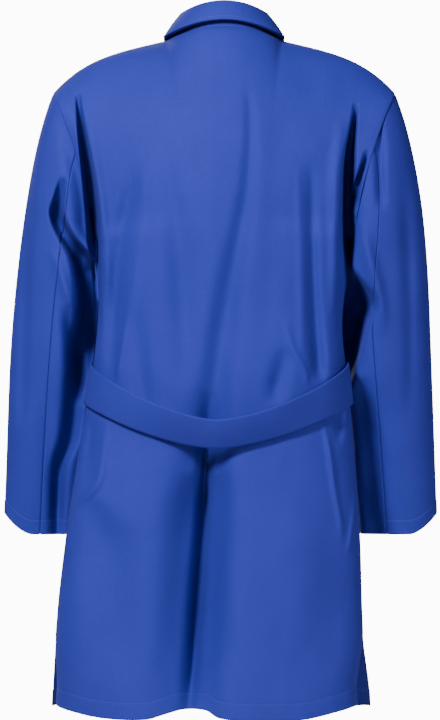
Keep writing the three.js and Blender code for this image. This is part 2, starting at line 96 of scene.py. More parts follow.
PLY = 0.8 * MM                 # one ply of twill as it is seen
HEM_DEPTH = 0.025
CUFF_HEM = 0.022
FRONT_HEM_LIFT = 0.013         # the fronts hang this much shorter beside their front edges
SIDE_HEM_LIFT = 0.015          # and this much at the side seams
BEND_START, BEND_RUN = 0.188, 0.125               # a raised sleeve would bend over this run from the trunk; only the bend's two ends are worked out
HINGE_LOW_LEFT, HINGE_LOW_RIGHT = 0.235, -0.190   # where the fronts' hinge lines meet the hem
HINGE_HIGH_X, HINGE_HIGH_Z = 0.020, 0.920         # where they end near the neck
STILL_NECK_Z = 0.860           # from this height up the fronts would follow the neck more and more
STITCH_PITCH = 3.2 * MM
STITCH_LENGTH = 2.3 * MM
THREAD = 0.42 * MM
TOPSTITCH = 0.006              # topstitching's distance from an edge or seam

# ---------- heights that follow ----------
NECK_SIDE_Z = NAPE_Z - NAPE_RISE
SHOULDER_RUN = SHOULDER_HALF - NECK_HALF
SHOULDER_Z = NECK_SIDE_Z - SHOULDER_SLOPE * SHOULDER_RUN - SHOULDER_ROUND
UNDERARM_Z = SHOULDER_Z - ARMHOLE_HEIGHT
ARMHOLE_MID_Z = (SHOULDER_Z + UNDERARM_Z) / 2
FRONT_NECK_Z = NECK_SIDE_Z - FRONT_NECK_DROP
WAIST_Z = 0.83 * UNDERARM_Z
BELT_Z = 0.7 * UNDERARM_Z
HIP_Z = 0.37 * UNDERARM_Z
BLADE_Z = UNDERARM_Z + 0.070
NECK_BLEND = 1.9 * NECK_HALF
VENT_TOP = 0.115
POCKET_TOP = HIP_Z + 0.118
CHEST_POCKET_TOP = ARMHOLE_MID_Z + 0.021
STUD_TOP = FRONT_NECK_Z - 0.068
FALL_EASE = 0.06 * NECK_HALF - 2.12 * MM     # a wider neck lays the fall over more shoulder
COLLAR_CLEAR = 2 * (CLOTH + PLY_GAP) + FALL_EASE
LAP_STEP = 2 * (CLOTH + PLY_GAP)
CUFF_Z = SHOULDER_Z - SLEEVE_DROP
FOLD_Z = NAPE_Z + COLLAR_STAND
LOOP_HALF, LOOP_DROP = 0.034, 0.024
LOOP_TOP = NAPE_Z - 0.010

WIDTHS = [(0, HEM_HALF), (HIP_Z, HIP_HALF), (BELT_Z - 0.03, WAIST_HALF + 0.014),
          (WAIST_Z, WAIST_HALF), (UNDERARM_Z, CHEST_HALF)]
BACK_DEPTHS = [(0, HEM_BACK_DEPTH), (WAIST_Z, WAIST_BACK_DEPTH), (BLADE_Z, BACK_DEPTH)]
FRONT_DEPTHS = [(0, HEM_FRONT_DEPTH), (WAIST_Z, WAIST_FRONT_DEPTH), (BLADE_Z, FRONT_DEPTH)]
SWAYS = [(0, HEM_SWAY), (0.21 * UNDERARM_Z, 0.95 * HEM_SWAY), (HIP_Z, 0.75 * HEM_SWAY),
         (BELT_Z, 0.34 * HEM_SWAY), (WAIST_Z, 0.27 * HEM_SWAY), (UNDERARM_Z - 0.01, 0)]


# ---------- the draft's surfaces, on whole arrays of points ----------

def smooth(t):
    t = np.clip(t, 0, 1)
    return t * t * (3 - 2 * t)


def along(points, z):
    """Smooth value at heights z through (height, value) points."""
    heights, values = np.array(points, float).T
    slopes = np.empty(len(values))
    slopes[1:-1] = (values[2:] - values[:-2]) / (heights[2:] - heights[:-2])
    slopes[0] = (values[1] - values[0]) / (heights[1] - heights[0])
    slopes[-1] = (values[-1] - values[-2]) / (heights[-1] - heights[-2])
    z = np.clip(z, heights[0], heights[-1])
    k = np.clip(np.searchsorted(heights, z, side="right") - 1, 0, len(heights) - 2)
    run = heights[k + 1] - heights[k]
    t = (z - heights[k]) / run
    a, b = values[k], values[k + 1]
    start, end = slopes[k] * run, slopes[k + 1] * run
    return a + t * start + t * t * (3 * (b - a) - 2 * start - end) + t ** 3 * (2 * (a - b) + start + end)


def sway(z):
    return along(SWAYS, z)


def armhole(c):
    """The armhole's oval: c is -1 at the underarm and 1 at the shoulder tip."""
    middle, lean = (SHOULDER_HALF + CHEST_HALF) / 2, (SHOULDER_HALF - CHEST_HALF) / 2
    x = middle + lean * c - 0.009 * (1 - c * c)
    y = ARMHOLE_HALF_DEPTH * np.sqrt(np.maximum(0, 1 - c * c))
    return x, y, ARMHOLE_MID_Z + ARMHOLE_HEIGHT / 2 * c


def side_edge(z):
    c = np.clip(2 * (z - UNDERARM_Z) / ARMHOLE_HEIGHT - 1, -1, 1)
    hole_x, hole_y, _ = armhole(c)
    low = z <= UNDERARM_Z
    return np.where(low, along(WIDTHS, z), hole_x), np.where(low, 0, hole_y)


def top_edge(u, front):
    """Neckline and shoulder seam over a share u of the half width: distance from the seam plane, height."""
    x = np.abs(u) * SHOULDER_HALF
    t = (x - NECK_HALF) / SHOULDER_RUN
    seam = NECK_SIDE_Z - SHOULDER_SLOPE * (x - NECK_HALF) - SHOULDER_ROUND * np.maximum(t, 0) ** 4
    depth = np.sqrt(np.maximum(0, 1 - (x / NECK_HALF) ** 2))
    drop = -FRONT_NECK_DROP if front else NAPE_RISE
    neck = x < NECK_HALF
    y = np.where(neck, (NECK_FRONT if front else NECK_BACK) * depth, 0)
    return y, np.where(neck, NECK_SIDE_Z + drop * depth ** 2, seam)


def body_point(front, u, side_z):
    """The body cloth's outer face. u runs from the centre (0) to the side (1 or -1)."""
    u, side_z = np.broadcast_arrays(np.asarray(u, float), np.asarray(side_z, float))
    edge_x, edge_y = side_edge(side_z)
    top_y0, top_z = top_edge(u, front)
    z = side_z + (top_z - SHOULDER_Z) * smooth((side_z - UNDERARM_Z) / ARMHOLE_HEIGHT)
    size = np.abs(u)
    share = np.clip((side_z - UNDERARM_Z) / ARMHOLE_HEIGHT, 0, 1)
    opened = 4 * share * (1 - share) * smooth(share / 0.16)
    power = (1 - opened) / ROUNDNESS + opened
    full = along(FRONT_DEPTHS if front else BACK_DEPTHS, z) * np.maximum(0, 1 - size ** ROUNDNESS) ** power
    start = BLADE_Z - (0.020 if front else 0)
    up = np.clip((z - start) / (top_z - start), 0, 1)
    held = np.maximum(0, 1 - up ** 2.2) ** 0.6
    neck = (NECK_FRONT if front else NECK_BACK) * (1 - smooth(size * SHOULDER_HALF / NECK_BLEND))
    top_y = neck + (top_y0 - neck) * up ** 5
    depth = top_y + (full - top_y) * held + edge_y * size ** (4 / (0.12 + opened)) + SEAM_HALF_GAP
    return np.stack([u * edge_x + sway(z), -depth if front else depth, z], -1)


def body_at(front, x, z):
    """The outer face at a distance x from the centre line (before sway) and a height z."""
    x, z = np.broadcast_arrays(np.asarray(x, float), np.asarray(z, float))
    side_z = np.minimum(z, SHOULDER_Z)
    for _ in range(14):
        u = x / side_edge(side_z)[0]
        rise = smooth((side_z - UNDERARM_Z) / ARMHOLE_HEIGHT)
        side_z = np.minimum(SHOULDER_Z, z - (top_edge(u, front)[1] - SHOULDER_Z) * rise)
    return body_point(front, x / side_edge(side_z)[0], side_z)


def off_body(front, x, z, proud):
    """The same, moved out by `proud` along the outward normal, and that normal."""
    step = 0.002
    across = body_at(front, x + step, z) - body_at(front, x - step, z)
    up = body_at(front, x, z + step) - body_at(front, x, z - step)
    normal = np.cross(across, up)
    normal /= np.linalg.norm(normal, axis=-1, keepdims=True)
    wrong = (normal[..., 1] > 0) == front
    normal = np.where(wrong[..., None], -normal, normal)
    return body_at(front, x, z) + normal * np.asarray(proud)[..., None], normal


def sleeve_point(side, angle, v):
    """A sleeve's outer face: angle 0 is outermost, 90 degrees is at the back."""
    angle, v = np.broadcast_arrays(np.asarray(angle, float), np.asarray(v, float))
    c, s = np.cos(angle), np.sin(angle)
    hole_x, hole_y, hole_z = armhole(c)
    ends = [np.stack([hole_x - SLEEVE_TUCK, np.sign(s) * hole_y, hole_z], -1),
            np.stack([0.075 + 0.105 * c, 0.025 * s - 0.015 * (1 - c), -(0.400 + 0.050 * c)], -1),
            np.stack([CUFF_X + CUFF_HALF_WIDTH * c, CUFF_Y + CUFF_HALF_DEPTH * s,
                      CUFF_Z - CUFF_DIP + CUFF_RISE * np.clip((c - 0.25) / 0.75, 0, 1) ** 1.7], -1),
            np.stack([0.035 - 0.005 * c, -0.110 + 0 * c, -(0.525 + 0.075 * c)], -1)]
    t = v
    shares = [2 * t ** 3 - 3 * t ** 2 + 1, t ** 3 - 2 * t ** 2 + t, 3 * t ** 2 - 2 * t ** 3, t ** 3 - t ** 2]
    p = sum(end * share[..., None] for end, share in zip(ends, shares))
    p[..., 0] = side * p[..., 0] + SLEEVE_SWAY * (1 - smooth((p[..., 2] - BELT_Z) / 0.300))
    return p


def hug(p, side, angle):
    """The inner side of a sleeve hangs against the body, from the underarm down to the belt."""
    towards = smooth(-0.8 * np.cos(angle) - 0.5 * np.sin(angle))
    z = p[..., 2]
    p[..., 0] -= side * 0.020 * towards * np.exp(-(((z - 0.600) / 0.125) ** 4))
    depth = np.where(p[..., 1] < 0, along(FRONT_DEPTHS, z), along(BACK_DEPTHS, z))
    across = np.maximum(0, 1 - (np.abs(p[..., 1]) / depth) ** ROUNDNESS) ** (1 / ROUNDNESS)
    nearest = side_edge(np.minimum(z, UNDERARM_Z))[0] * across + 1.8 * MM
    offset = side * (p[..., 0] - sway(z))
    low = z < UNDERARM_Z - 0.010
    p[..., 0] = np.where(low, sway(z) + side * np.maximum(offset, nearest), p[..., 0])
    return p


def back_seam(side, v):
    """Angle of the sleeve's back seam, in degrees."""
    return 79 + 8 * v if side > 0 else 75 + 34 * smooth(2.2 * v)


FRONT_SEAM = 250


def ring(turn, nape, shoulder, front_end):
    """Rings round the neck: turn 0 is the nape, 90 degrees is at the shoulder, 180 the front."""
    c, s = np.cos(turn), np.sin(turn)
    end_y = np.where(c > 0, nape[0], front_end[1])
    end_z = np.where(c > 0, nape[1], front_end[2])
    x = np.abs(s) * shoulder[0] + np.where(c < 0, c * c * front_end[0], 0)
    return np.stack([x, shoulder[1] + np.abs(c) * (end_y - shoulder[1]),
                     shoulder[2] + c * c * (end_z - shoulder[2])], -1)


def neck_ring(turn):
    return ring(turn, (NECK_BACK - 0.0016, NAPE_Z - STAND_TUCK),
                (NECK_HALF - 0.004, 0, NECK_SIDE_Z - STAND_TUCK),
                (0.003, -NECK_FRONT + 0.004, FRONT_NECK_Z - STAND_TUCK))


def fold_ring(turn):
    return ring(turn, (NECK_BACK - 0.006, FOLD_Z), (NECK_HALF - 0.016, 0.002, FOLD_Z - 0.018),
                (0.008, -NECK_FRONT - 0.010, FRONT_NECK_Z + 0.012))


def stand_ring(turn):
    p = fold_ring(turn)
    inward = np.stack([-p[..., 0], -0.020 - p[..., 1], 0 * p[..., 2]], -1)
    inward *= COLLAR_ROLL / np.linalg.norm(inward, axis=-1, keepdims=True)
    return p + inward - np.array([0, 0, 0.003])


def edge_ring(turn):
    return ring(turn, (NECK_BACK + 0.010, FOLD_Z - COLLAR_FALL),
                (NECK_HALF + 0.007, 0.003, NECK_SIDE_Z + 0.004),
                (0.030, -NECK_FRONT - 0.014, FRONT_NECK_Z + 0.012 - COLLAR_POINT))


def fall_point(turn, share):
    """The collar's fall, from its edge (0) to the fold (1), kept clear of the fronts."""
    turn, share = np.broadcast_arrays(np.asarray(turn, float), np.asarray(share, float))
    p = edge_ring(turn) + (fold_ring(turn) - edge_ring(turn)) * share[..., None]
    neck_z = top_edge(p[..., 0] / SHOULDER_HALF, True)[1]
    under, normal = off_body(True, p[..., 0], np.minimum(p[..., 2], neck_z - 0.002), np.zeros(turn.shape))
    short = COLLAR_CLEAR - np.sum((p - under) * normal, -1)
    lift = np.where(turn < math.pi / 2, 0, np.maximum(0, short))
    return p + normal * lift[..., None]


# ---------- drape ----------
# A fold is a list of (height, x, depth, half width) in millimetres, from low to high, and a shape.
# Depth is how far the cloth goes in, so a ridge has a negative one. They are seen on the back of
# the coat, so a fold acts on cloth behind the shoulder plane.

VALLEY = "valley"
SLOT = "slot"

ARMHOLE_FOLDS = [
    (SLOT, [(560, 184, 0, 5), (600, 185, 14, 5), (660, 188, 26, 6), (700, 190, 46, 8),
            (740, 192, 62, 8.5), (786, 197, 62, 8), (820, 202, 52, 7), (860, 208, 36, 5.5), (892, 212, 16, 4),
            (916, 214, 0, 4)]),
    (VALLEY, [(640, 206, 0, 10), (700, 206, 18, 11), (771, 210, 16, 11), (829, 223, 10, 12),
              (890, 238, 0, 10)]),
    (VALLEY, [(600, 172, 0, 9), (660, 174, -8, 9), (740, 178, -9, 9), (800, 186, -7, 9), (850, 194, -4, 9),
              (890, 200, 0, 9)]),
    (SLOT, [(640, -182, 0, 5), (670, -182, 30, 6), (700, -182, 52, 8.5), (757, -181, 64, 8.5),
            (800, -182, 62, 8), (830, -184, 50, 7), (860, -188, 32, 5), (884, -191, 12, 4),
            (900, -192, 0, 4)]),
    (VALLEY, [(580, -160, 0, 9), (640, -162, -8, 9), (720, -162, -10, 9), (790, -163, -9, 9),
              (840, -168, -5, 9),
              (880, -172, 0, 9)]),
    (SLOT, [(742, -190, 0, 5), (764, -192, 30, 5), (790, -197, 30, 4.5), (812, -204, 16, 4),
            (830, -208, 0, 4)]),
]

BACK_FOLDS = [
    # the long fold from the right shoulder blade to the centre of the hem
    (VALLEY, [(360, 24, 0, 34), (400, 22, 26, 32), (464, 16, 21, 23), (567, 2, 16, 19), (684, -18, 13, 15),
              (757, -32, 10, 12), (830, -38, 7, 9), (885, -38, 5, 7), (926, -34, 0, 6)]),
    (VALLEY, [(0, 52, 26, 44), (113, 48, 48, 44), (230, 42, 54, 42), (318, 35, 52, 38), (400, 26, 0, 34)]),
    (VALLEY, [(0, 34, 6, 14), (113, 22, 15, 15), (230, 14, 19, 15), (340, 8, 15, 13), (400, 6, 0, 12)]),
    (VALLEY, [(0, 52, 14, 11), (54, 47, 32, 11), (142, 41, 38, 11), (215, 36, 37, 11), (288, 30, 35, 10),
              (361, 28, 34, 9), (400, 26, 26, 9), (440, 24, 10, 10), (480, 20, 0, 10)]),
    # left shoulder blade
    (VALLEY, [(500, 165, 0, 12), (540, 163, 12, 12), (640, 157, 12, 12), (728, 146, 8, 11), (780, 136, 5, 10),
              (822, 128, 0, 10)]),
    (VALLEY, [(480, 158, 0, 7), (540, 147, -3, 7), (669, 127, -3, 9), (772, 118, -3, 9), (820, 116, 0, 9)]),
    # right shoulder blade
    (VALLEY, [(490, -140, 0, 9), (512, -138, 15, 10), (567, -134, 15, 10), (610, -131, 14, 9),
              (684, -129, 11, 8),
              (728, -128, 8, 8), (776, -128, 5, 8), (815, -125, 0, 8)]),
    (VALLEY, [(520, -114, 0, 6), (600, -113, -3, 6), (698, -110, -3, 6), (786, -108, -2, 5),
              (812, -106, 0, 5)]),
    # broad soft ones
    (VALLEY, [(480, 50, 0, 20), (567, 56, 8, 18), (698, 66, 7, 18), (800, 82, 4, 16), (862, 88, 0, 14)]),
    (VALLEY, [(520, -70, 0, 20), (640, -66, 3, 22), (800, -72, 3, 20), (880, -84, 0, 18)]),
    (VALLEY, [(470, 100, 0, 26), (600, 98, -4, 26), (780, 96, -3, 24), (860, 100, 0, 20)]),
    # gathers that the belt's ends pull
    (VALLEY, [(455, -72, 0, 12), (485, -76, 10, 13), (520, -84, 6, 13), (545, -88, 0, 10)]),
    (VALLEY, [(486, -122, 0, 4), (505, -119, -4, 4), (545, -98, -4, 5), (585, -90, 0, 5)]),
    (VALLEY, [(494, 158, 0, 3.5), (510, 154, -4, 4), (560, 146, -3, 4), (590, 142, 0, 4)]),
    (VALLEY, [(420, 110, 0, 12), (470, 118, 7, 13), (540, 124, 5, 14), (600, 128, 0, 14)]),
    # below the belt
    (VALLEY, [(300, 222, 0, 7), (316, 214, -6, 7), (330, 196, -8, 8), (347, 184, -8, 8), (391, 176, -7, 7),
              (440, 171, 0, 6)]),
    (VALLEY, [(50, 158, 0, 40), (130, 158, 11, 44), (200, 164, 16, 44), (262, 176, 18, 38),
              (300, 188, 10, 24),
              (322, 192, 0, 16)]),
    (VALLEY, [(350, 202, 0, 8), (385, 198, 8, 9), (420, 194, 8, 8), (440, 190, 0, 8)]),
    (VALLEY, [(262, -172, 0, 5), (288, -170, -5, 5), (332, -162, -6, 5), (391, -154, -6, 5),
              (446, -142, 0, 5)]),
    (VALLEY, [(236, -180, 0, 4), (262, -185, -4, 4.5), (320, -193, -4, 4), (360, -196, 0, 4)]),
    (VALLEY, [(400, -166, 0, 6), (420, -168, 8, 7), (446, -170, 10, 7), (462, -172, 0, 7)]),
    (VALLEY, [(40, -130, 0, 40), (120, -150, 6, 40), (240, -160, 5, 30), (330, -140, 0, 24)]),
]

LEFT_SLEEVE_FOLDS = [
    (VALLEY, [(420, 300, 0, 9), (464, 297, 6, 9), (600, 294, 7, 9), (684, 290, 7, 9), (800, 283, 5, 8),
              (870, 272, 0, 8)]),
    (SLOT, [(455, 204, 0, 14), (490, 203, 40, 17), (540, 202, 72, 19), (596, 199, 88, 17), (620, 199, 92, 16),
            (650, 202, 92, 16), (676, 211, 72, 14),
            (700, 228, 52, 11), (722, 240, 44, 10), (742, 245, 36, 9), (765, 241, 22, 7), (792, 235, 0, 6)]),
    (VALLEY, [(655, 204, 0, 6), (678, 200, -10, 8), (704, 208, -10, 8), (724, 218, 0, 6)]),
    (VALLEY, [(600, 224, 0, 8), (622, 230, -9, 8), (655, 240, -7, 8), (690, 252, 0, 8)]),
    (VALLEY, [(262, 247, 16, 9), (318, 246, 28, 9), (372, 242, 30, 10), (413, 227, 34, 12),
              (478, 220, 38, 12),
              (537, 222, 36, 10), (575, 226, 22, 10), (605, 230, 0, 10)]),
    (VALLEY, [(290, 262, 0, 14), (400, 262, 5, 14), (500, 264, 0, 14)]),
]
RIGHT_SLEEVE_FOLDS = [
    (VALLEY, [(740, -231, 0, 7), (771, -229, 9, 7), (840, -227, 9, 7), (885, -225, 0, 7)]),
    (SLOT, [(478, -179, 0, 6), (508, -181, 50, 10), (545, -185, 74, 15), (580, -190, 80, 19),
            (605, -194, 80, 24),
            (622, -192, 78, 20), (640, -187, 66, 13), (656, -182, 30, 7), (668, -180, 0, 6)]),
    (VALLEY, [(560, -232, 0, 8), (600, -231, -6, 8), (640, -222, -10, 10), (690, -208, -8, 10),
              (730, -202, 0, 9)]),
    (VALLEY, [(290, -222, 10, 20), (380, -214, 16, 22), (450, -206, 14, 20), (500, -204, 0, 16)]),
    (VALLEY, [(430, -272, 0, 10), (520, -274, 5, 10), (680, -270, 6, 10), (800, -262, 0, 9)]),
]


def drape(p, folds, still=-0.004, reach=0.022):
    """Points p after the folds have moved them in along Y; cloth in front of Y = still stays."""
    p = p.copy()
    behind = smooth((p[..., 1] - still) / reach)
    moved = np.zeros(p.shape[:-1])
    for shape, fold in folds:
        table = np.array(fold, float) * MM
        z = p[..., 2]
        centre, depth, half = (along(np.stack([table[:, 0], table[:, k]], -1), z) for k in (1, 2, 3))
        depth = np.where((z > table[-1, 0]) | ((z < table[0, 0]) & (table[0, 0] > 0.300)), 0, depth)
        t = (p[..., 0] - centre) / half
        rise = np.exp(-np.abs(t) ** 4) if shape == SLOT else np.exp(-t * t)
        moved += depth * rise
    p[..., 1] -= moved * behind
    return p


def ripple(p, seed, size=0.6 * MM):
    """Slight unevenness of hung cloth, as a sum of waves that run mostly across it."""
    chance = np.random.default_rng(seed)
    total = np.zeros(p.shape[:-1])
    for _ in range(14):
        length = chance.uniform(0.035, 0.120)
        lean = chance.normal(0, 0.55)
        reach = 2 * math.pi / length
        wave = np.array([math.cos(lean), chance.uniform(-0.3, 0.3), math.sin(lean)]) * reach
        total += np.sin(p @ wave + chance.uniform(0, 6.28)) * (length / 0.08) * size / 3
    return total


# ---------- meshes from grids ----------

def grid_normals(p):
    across = np.gradient(p, axis=1)
    up = np.gradient(p, axis=0)
    normal = np.cross(across, up)
    return normal / np.maximum(np.linalg.norm(normal, axis=-1, keepdims=True), 1e-12)


def edge_distance(p, sides=(True, True, True, True)):
    """Distance of each grid point from the nearest of the chosen edges: low, high, first, last."""
    down = np.linalg.norm(np.diff(p, axis=0), axis=-1)
    over = np.linalg.norm(np.diff(p, axis=1), axis=-1)
    from_low = np.vstack([np.zeros((1, p.shape[1])), np.cumsum(down, 0)])
    from_first = np.hstack([np.zeros((p.shape[0], 1)), np.cumsum(over, 1)])
    all_four = [from_low, from_low[-1:] - from_low, from_first, from_first[:, -1:] - from_first]
    chosen = [d for d, used in zip(all_four, sides) if used]
    return np.minimum.reduce(chosen) if chosen else np.full(p.shape[:-1], 1.0)


def rolled(p, sides=(True, True, True, True), depth=1.3 * MM, reach=3.2 * MM):
    """The grid with its edges turned in a little, as a seam or a pressed edge turns them."""
    d = edge_distance(p, sides)
    return p - grid_normals(p) * (depth * np.clip(1 - d / reach, 0, 1) ** 2)[..., None]


def hem_line(p, distance, depth=0.35 * MM, width=1.2 * MM):
    """A groove that a row of stitches pulls into the cloth at that distance from the grid's low edge."""
    d = edge_distance(p, (True, False, False, False))
    doubled = 0.5 * MM * (1 - smooth((d - distance + 0.002) / 0.002))
    groove = depth * np.exp(-((d - distance) / width) ** 2)
    return p + grid_normals(p) * (doubled - groove)[..., None]


def spaced(count, low, high, peaks):
    """Positions from low to high, closer near each (centre, half width, weight) peak."""
    fine = np.linspace(low, high, 4001)
    density = 1 + sum(weight * np.exp(-((fine - centre) / half) ** 2) for centre, half, weight in peaks)
    total = np.cumsum(density)
    total = (total - total[0]) / (total[-1] - total[0])
    return np.interp(np.linspace(0, 1, count), total, fine)


def grid_mesh(name, p, material, thickness=PLY):
    """An object from a grid of points in the draft's space, with metres of cloth as its UVs."""
    rows, cols = p.shape[:2]
    flat = p.reshape(-1, 3) - np.array([0, 0, NECK_SIDE_Z])
    index = np.arange(rows * cols).reshape(rows, cols)
    quads = np.stack([index[:-1, :-1], index[:-1, 1:], index[1:, 1:], index[1:, :-1]], -1).reshape(-1, 4)
    mesh = bpy.data.meshes.new(name)
    mesh.from_pydata(flat.tolist(), [], quads.tolist())
    over = np.hstack([np.zeros((rows, 1)), np.cumsum(np.linalg.norm(np.diff(p, axis=1), axis=-1), 1)])
    over -= over[:, cols // 2:cols // 2 + 1]
    down = np.vstack([np.zeros((1, cols)), np.cumsum(np.linalg.norm(np.diff(p, axis=0), axis=-1), 0)])
    uv = np.stack([over, down], -1).reshape(-1, 2)
    layer = mesh.uv_layers.new(name="cloth")
    layer.data.foreach_set("uv", uv[quads.reshape(-1)].astype(np.float32).ravel())
    mesh.materials.append(material)
    mesh.shade_smooth()
    piece = bpy.data.objects.new(name, mesh)
    bpy.context.scene.collection.objects.link(piece)
    if thickness:
        wall = piece.modifiers.new("wall", "SOLIDIFY")
        wall.thickness = thickness
        wall.offset = -1
    return bake(piece)


def bake(piece):
    """The piece with its modifiers applied."""
    if not piece.modifiers:
        return piece
    ready = piece.evaluated_get(bpy.context.evaluated_depsgraph_get())
    plain = bpy.data.meshes.new_from_object(ready)
    piece.modifiers.clear()
    piece.data = plain
    return piece


def weigh(piece, weights):
    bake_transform(piece)
    co = np.array([v.co for v in piece.data.vertices], float).reshape(-1, 3)
    co[:, 2] += NECK_SIDE_Z
    weights(co).astype(np.float32)


def front_share(side):
    """How much a point of a front would follow a swinging front: none past its hinge line or at the neck.
    Nothing stores or uses the share.
    """
    hinge_low = HINGE_LOW_LEFT if side > 0 else HINGE_LOW_RIGHT
    hinge_high = side * HINGE_HIGH_X

    def share(co):
        hinge = hinge_high + (hinge_low - hinge_high) * (HINGE_HIGH_Z - co[:, 2]) / HINGE_HIGH_Z
        inside = side * (hinge - co[:, 0])
        return smooth((inside + 0.045) / 0.050) * (1 - smooth((co[:, 2] - STILL_NECK_Z) / 0.045))
    return share


def belt_share(co):
    """How much a point of the belt would lift: none at its sewn ends. Nothing stores or uses the share."""
    edge = side_edge(co[:, 2])[0]
    s = np.abs(np.arcsin(np.clip((co[:, 0] - sway(co[:, 2])) / edge, -1, 1))) * 2 / math.pi
    return smooth((1 - s) / 0.14)


def dress(piece, body, node=None):
    """Ride, and hide the imported node that the piece stands for."""
    if body:
        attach(piece, body)
    if node:
        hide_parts(node)
    return piece


# ---------- materials ----------

def new_material(name):
    material = bpy.data.materials.new(name)
    material.use_nodes = True
    tree = material.node_tree
    return material, tree, tree.nodes["Principled BSDF"]


def twill(name, light, dark, bump=0.35):
    """Cotton twill: a diagonal weave, a mottled dye, and creases too small to model."""
    material, tree, shader = new_material(name)
    nodes, link = tree.nodes, tree.links.new
    shader.inputs["Roughness"].default_value = 0.78
    shader.inputs["Sheen Weight"].default_value = 0.02
    shader.inputs["Sheen Roughness"].default_value = 0.45
    shader.inputs["Sheen Tint"].default_value = (0.35, 0.5, 1.0, 1)
    shader.inputs["Specular IOR Level"].default_value = 0.16
    place = nodes.new("ShaderNodeTexCoord")

    diagonal = nodes.new("ShaderNodeMapping")
    diagonal.inputs["Rotation"].default_value = (0, 0, math.radians(28))
    link(place.outputs["UV"], diagonal.inputs["Vector"])
    rib = nodes.new("ShaderNodeTexWave")
    rib.wave_profile = "SIN"
    rib.inputs["Scale"].default_value = 330
    rib.inputs["Distortion"].default_value = 0.8
    rib.inputs["Detail"].default_value = 2
    link(diagonal.outputs["Vector"], rib.inputs["Vector"])

    yarn = nodes.new("ShaderNodeTexNoise")
    yarn.inputs["Scale"].default_value = 1400
    yarn.inputs["Detail"].default_value = 2
    link(place.outputs["UV"], yarn.inputs["Vector"])

    mottle = nodes.new("ShaderNodeTexNoise")
    mottle.inputs["Scale"].default_value = 260
    mottle.inputs["Detail"].default_value = 4
    mottle.inputs["Roughness"].default_value = 0.7
    link(place.outputs["Object"], mottle.inputs["Vector"])
    wash = nodes.new("ShaderNodeTexNoise")
    wash.inputs["Scale"].default_value = 9
    wash.inputs["Detail"].default_value = 3
    link(place.outputs["Object"], wash.inputs["Vector"])

    blend = nodes.new("ShaderNodeMath")
    blend.operation = "MULTIPLY_ADD"
    blend.inputs[1].default_value = 0.55
    link(mottle.outputs["Fac"], blend.inputs[0])
    halves = nodes.new("ShaderNodeMath")
    halves.operation = "MULTIPLY"
    halves.inputs[1].default_value = 0.45
    link(wash.outputs["Fac"], halves.inputs[0])
    link(halves.outputs[0], blend.inputs[2])
    colour = nodes.new("ShaderNodeValToRGB")
    colour.color_ramp.elements[0].position = 0.30
    colour.color_ramp.elements[0].color = (*dark, 1)
    colour.color_ramp.elements[1].position = 0.72
    colour.color_ramp.elements[1].color = (*light, 1)
    link(blend.outputs[0], colour.inputs["Fac"])
    link(colour.outputs["Color"], shader.inputs["Base Color"])

    crease = nodes.new("ShaderNodeTexNoise")
    crease.inputs["Scale"].default_value = 38
    crease.inputs["Detail"].default_value = 5
    crease.inputs["Roughness"].default_value = 0.62
    link(place.outputs["Object"], crease.inputs["Vector"])
    small = nodes.new("ShaderNodeBump")
    small.inputs["Strength"].default_value = bump
    small.inputs["Distance"].default_value = 0.25 * MM
    link(rib.outputs["Fac"], small.inputs["Height"])
    yarns = nodes.new("ShaderNodeBump")
    yarns.inputs["Strength"].default_value = 0.25 * bump
    yarns.inputs["Distance"].default_value = 0.15 * MM
    link(yarn.outputs["Fac"], yarns.inputs["Height"])
    link(small.outputs["Normal"], yarns.inputs["Normal"])
    large = nodes.new("ShaderNodeBump")
    large.inputs["Strength"].default_value = 0.5
    large.inputs["Distance"].default_value = 1.6 * MM
    link(crease.outputs["Fac"], large.inputs["Height"])
    link(yarns.outputs["Normal"], large.inputs["Normal"])
    link(large.outputs["Normal"], shader.inputs["Normal"])
    return material


def thread_material():
    material, tree, shader = new_material("thread")
    shader.inputs["Roughness"].default_value = 0.55
    shader.inputs["Sheen Weight"].default_value = 0.2
    place = tree.nodes.new("ShaderNodeTexCoord")
    twist = tree.nodes.new("ShaderNodeTexNoise")
    twist.inputs["Scale"].default_value = 900
    tree.links.new(place.outputs["Object"], twist.inputs["Vector"])
    colour = tree.nodes.new("ShaderNodeValToRGB")
    colour.color_ramp.elements[0].color = (0.010, 0.040, 0.24, 1)
    colour.color_ramp.elements[1].color = (0.030, 0.095, 0.46, 1)
    tree.links.new(twist.outputs["Fac"], colour.inputs["Fac"])
    tree.links.new(colour.outputs["Color"], shader.inputs["Base Color"])
    return material


def label_material():
    material, tree, shader = new_material("woven label")
    shader.inputs["Roughness"].default_value = 0.5
    place = tree.nodes.new("ShaderNodeTexCoord")
    weft = tree.nodes.new("ShaderNodeTexWave")
    weft.inputs["Scale"].default_value = 700
    tree.links.new(place.outputs["UV"], weft.inputs["Vector"])
    colour = tree.nodes.new("ShaderNodeValToRGB")
    colour.color_ramp.elements[0].color = (0.70, 0.70, 0.68, 1)
    colour.color_ramp.elements[1].color = (0.82, 0.82, 0.80, 1)
    tree.links.new(weft.outputs["Fac"], colour.inputs["Fac"])
    tree.links.new(colour.outputs["Color"], shader.inputs["Base Color"])
    ridge = tree.nodes.new("ShaderNodeBump")
    ridge.inputs["Distance"].default_value = 0.1 * MM
    tree.links.new(weft.outputs["Fac"], ridge.inputs["Height"])
    tree.links.new(ridge.outputs["Normal"], shader.inputs["Normal"])
    return material


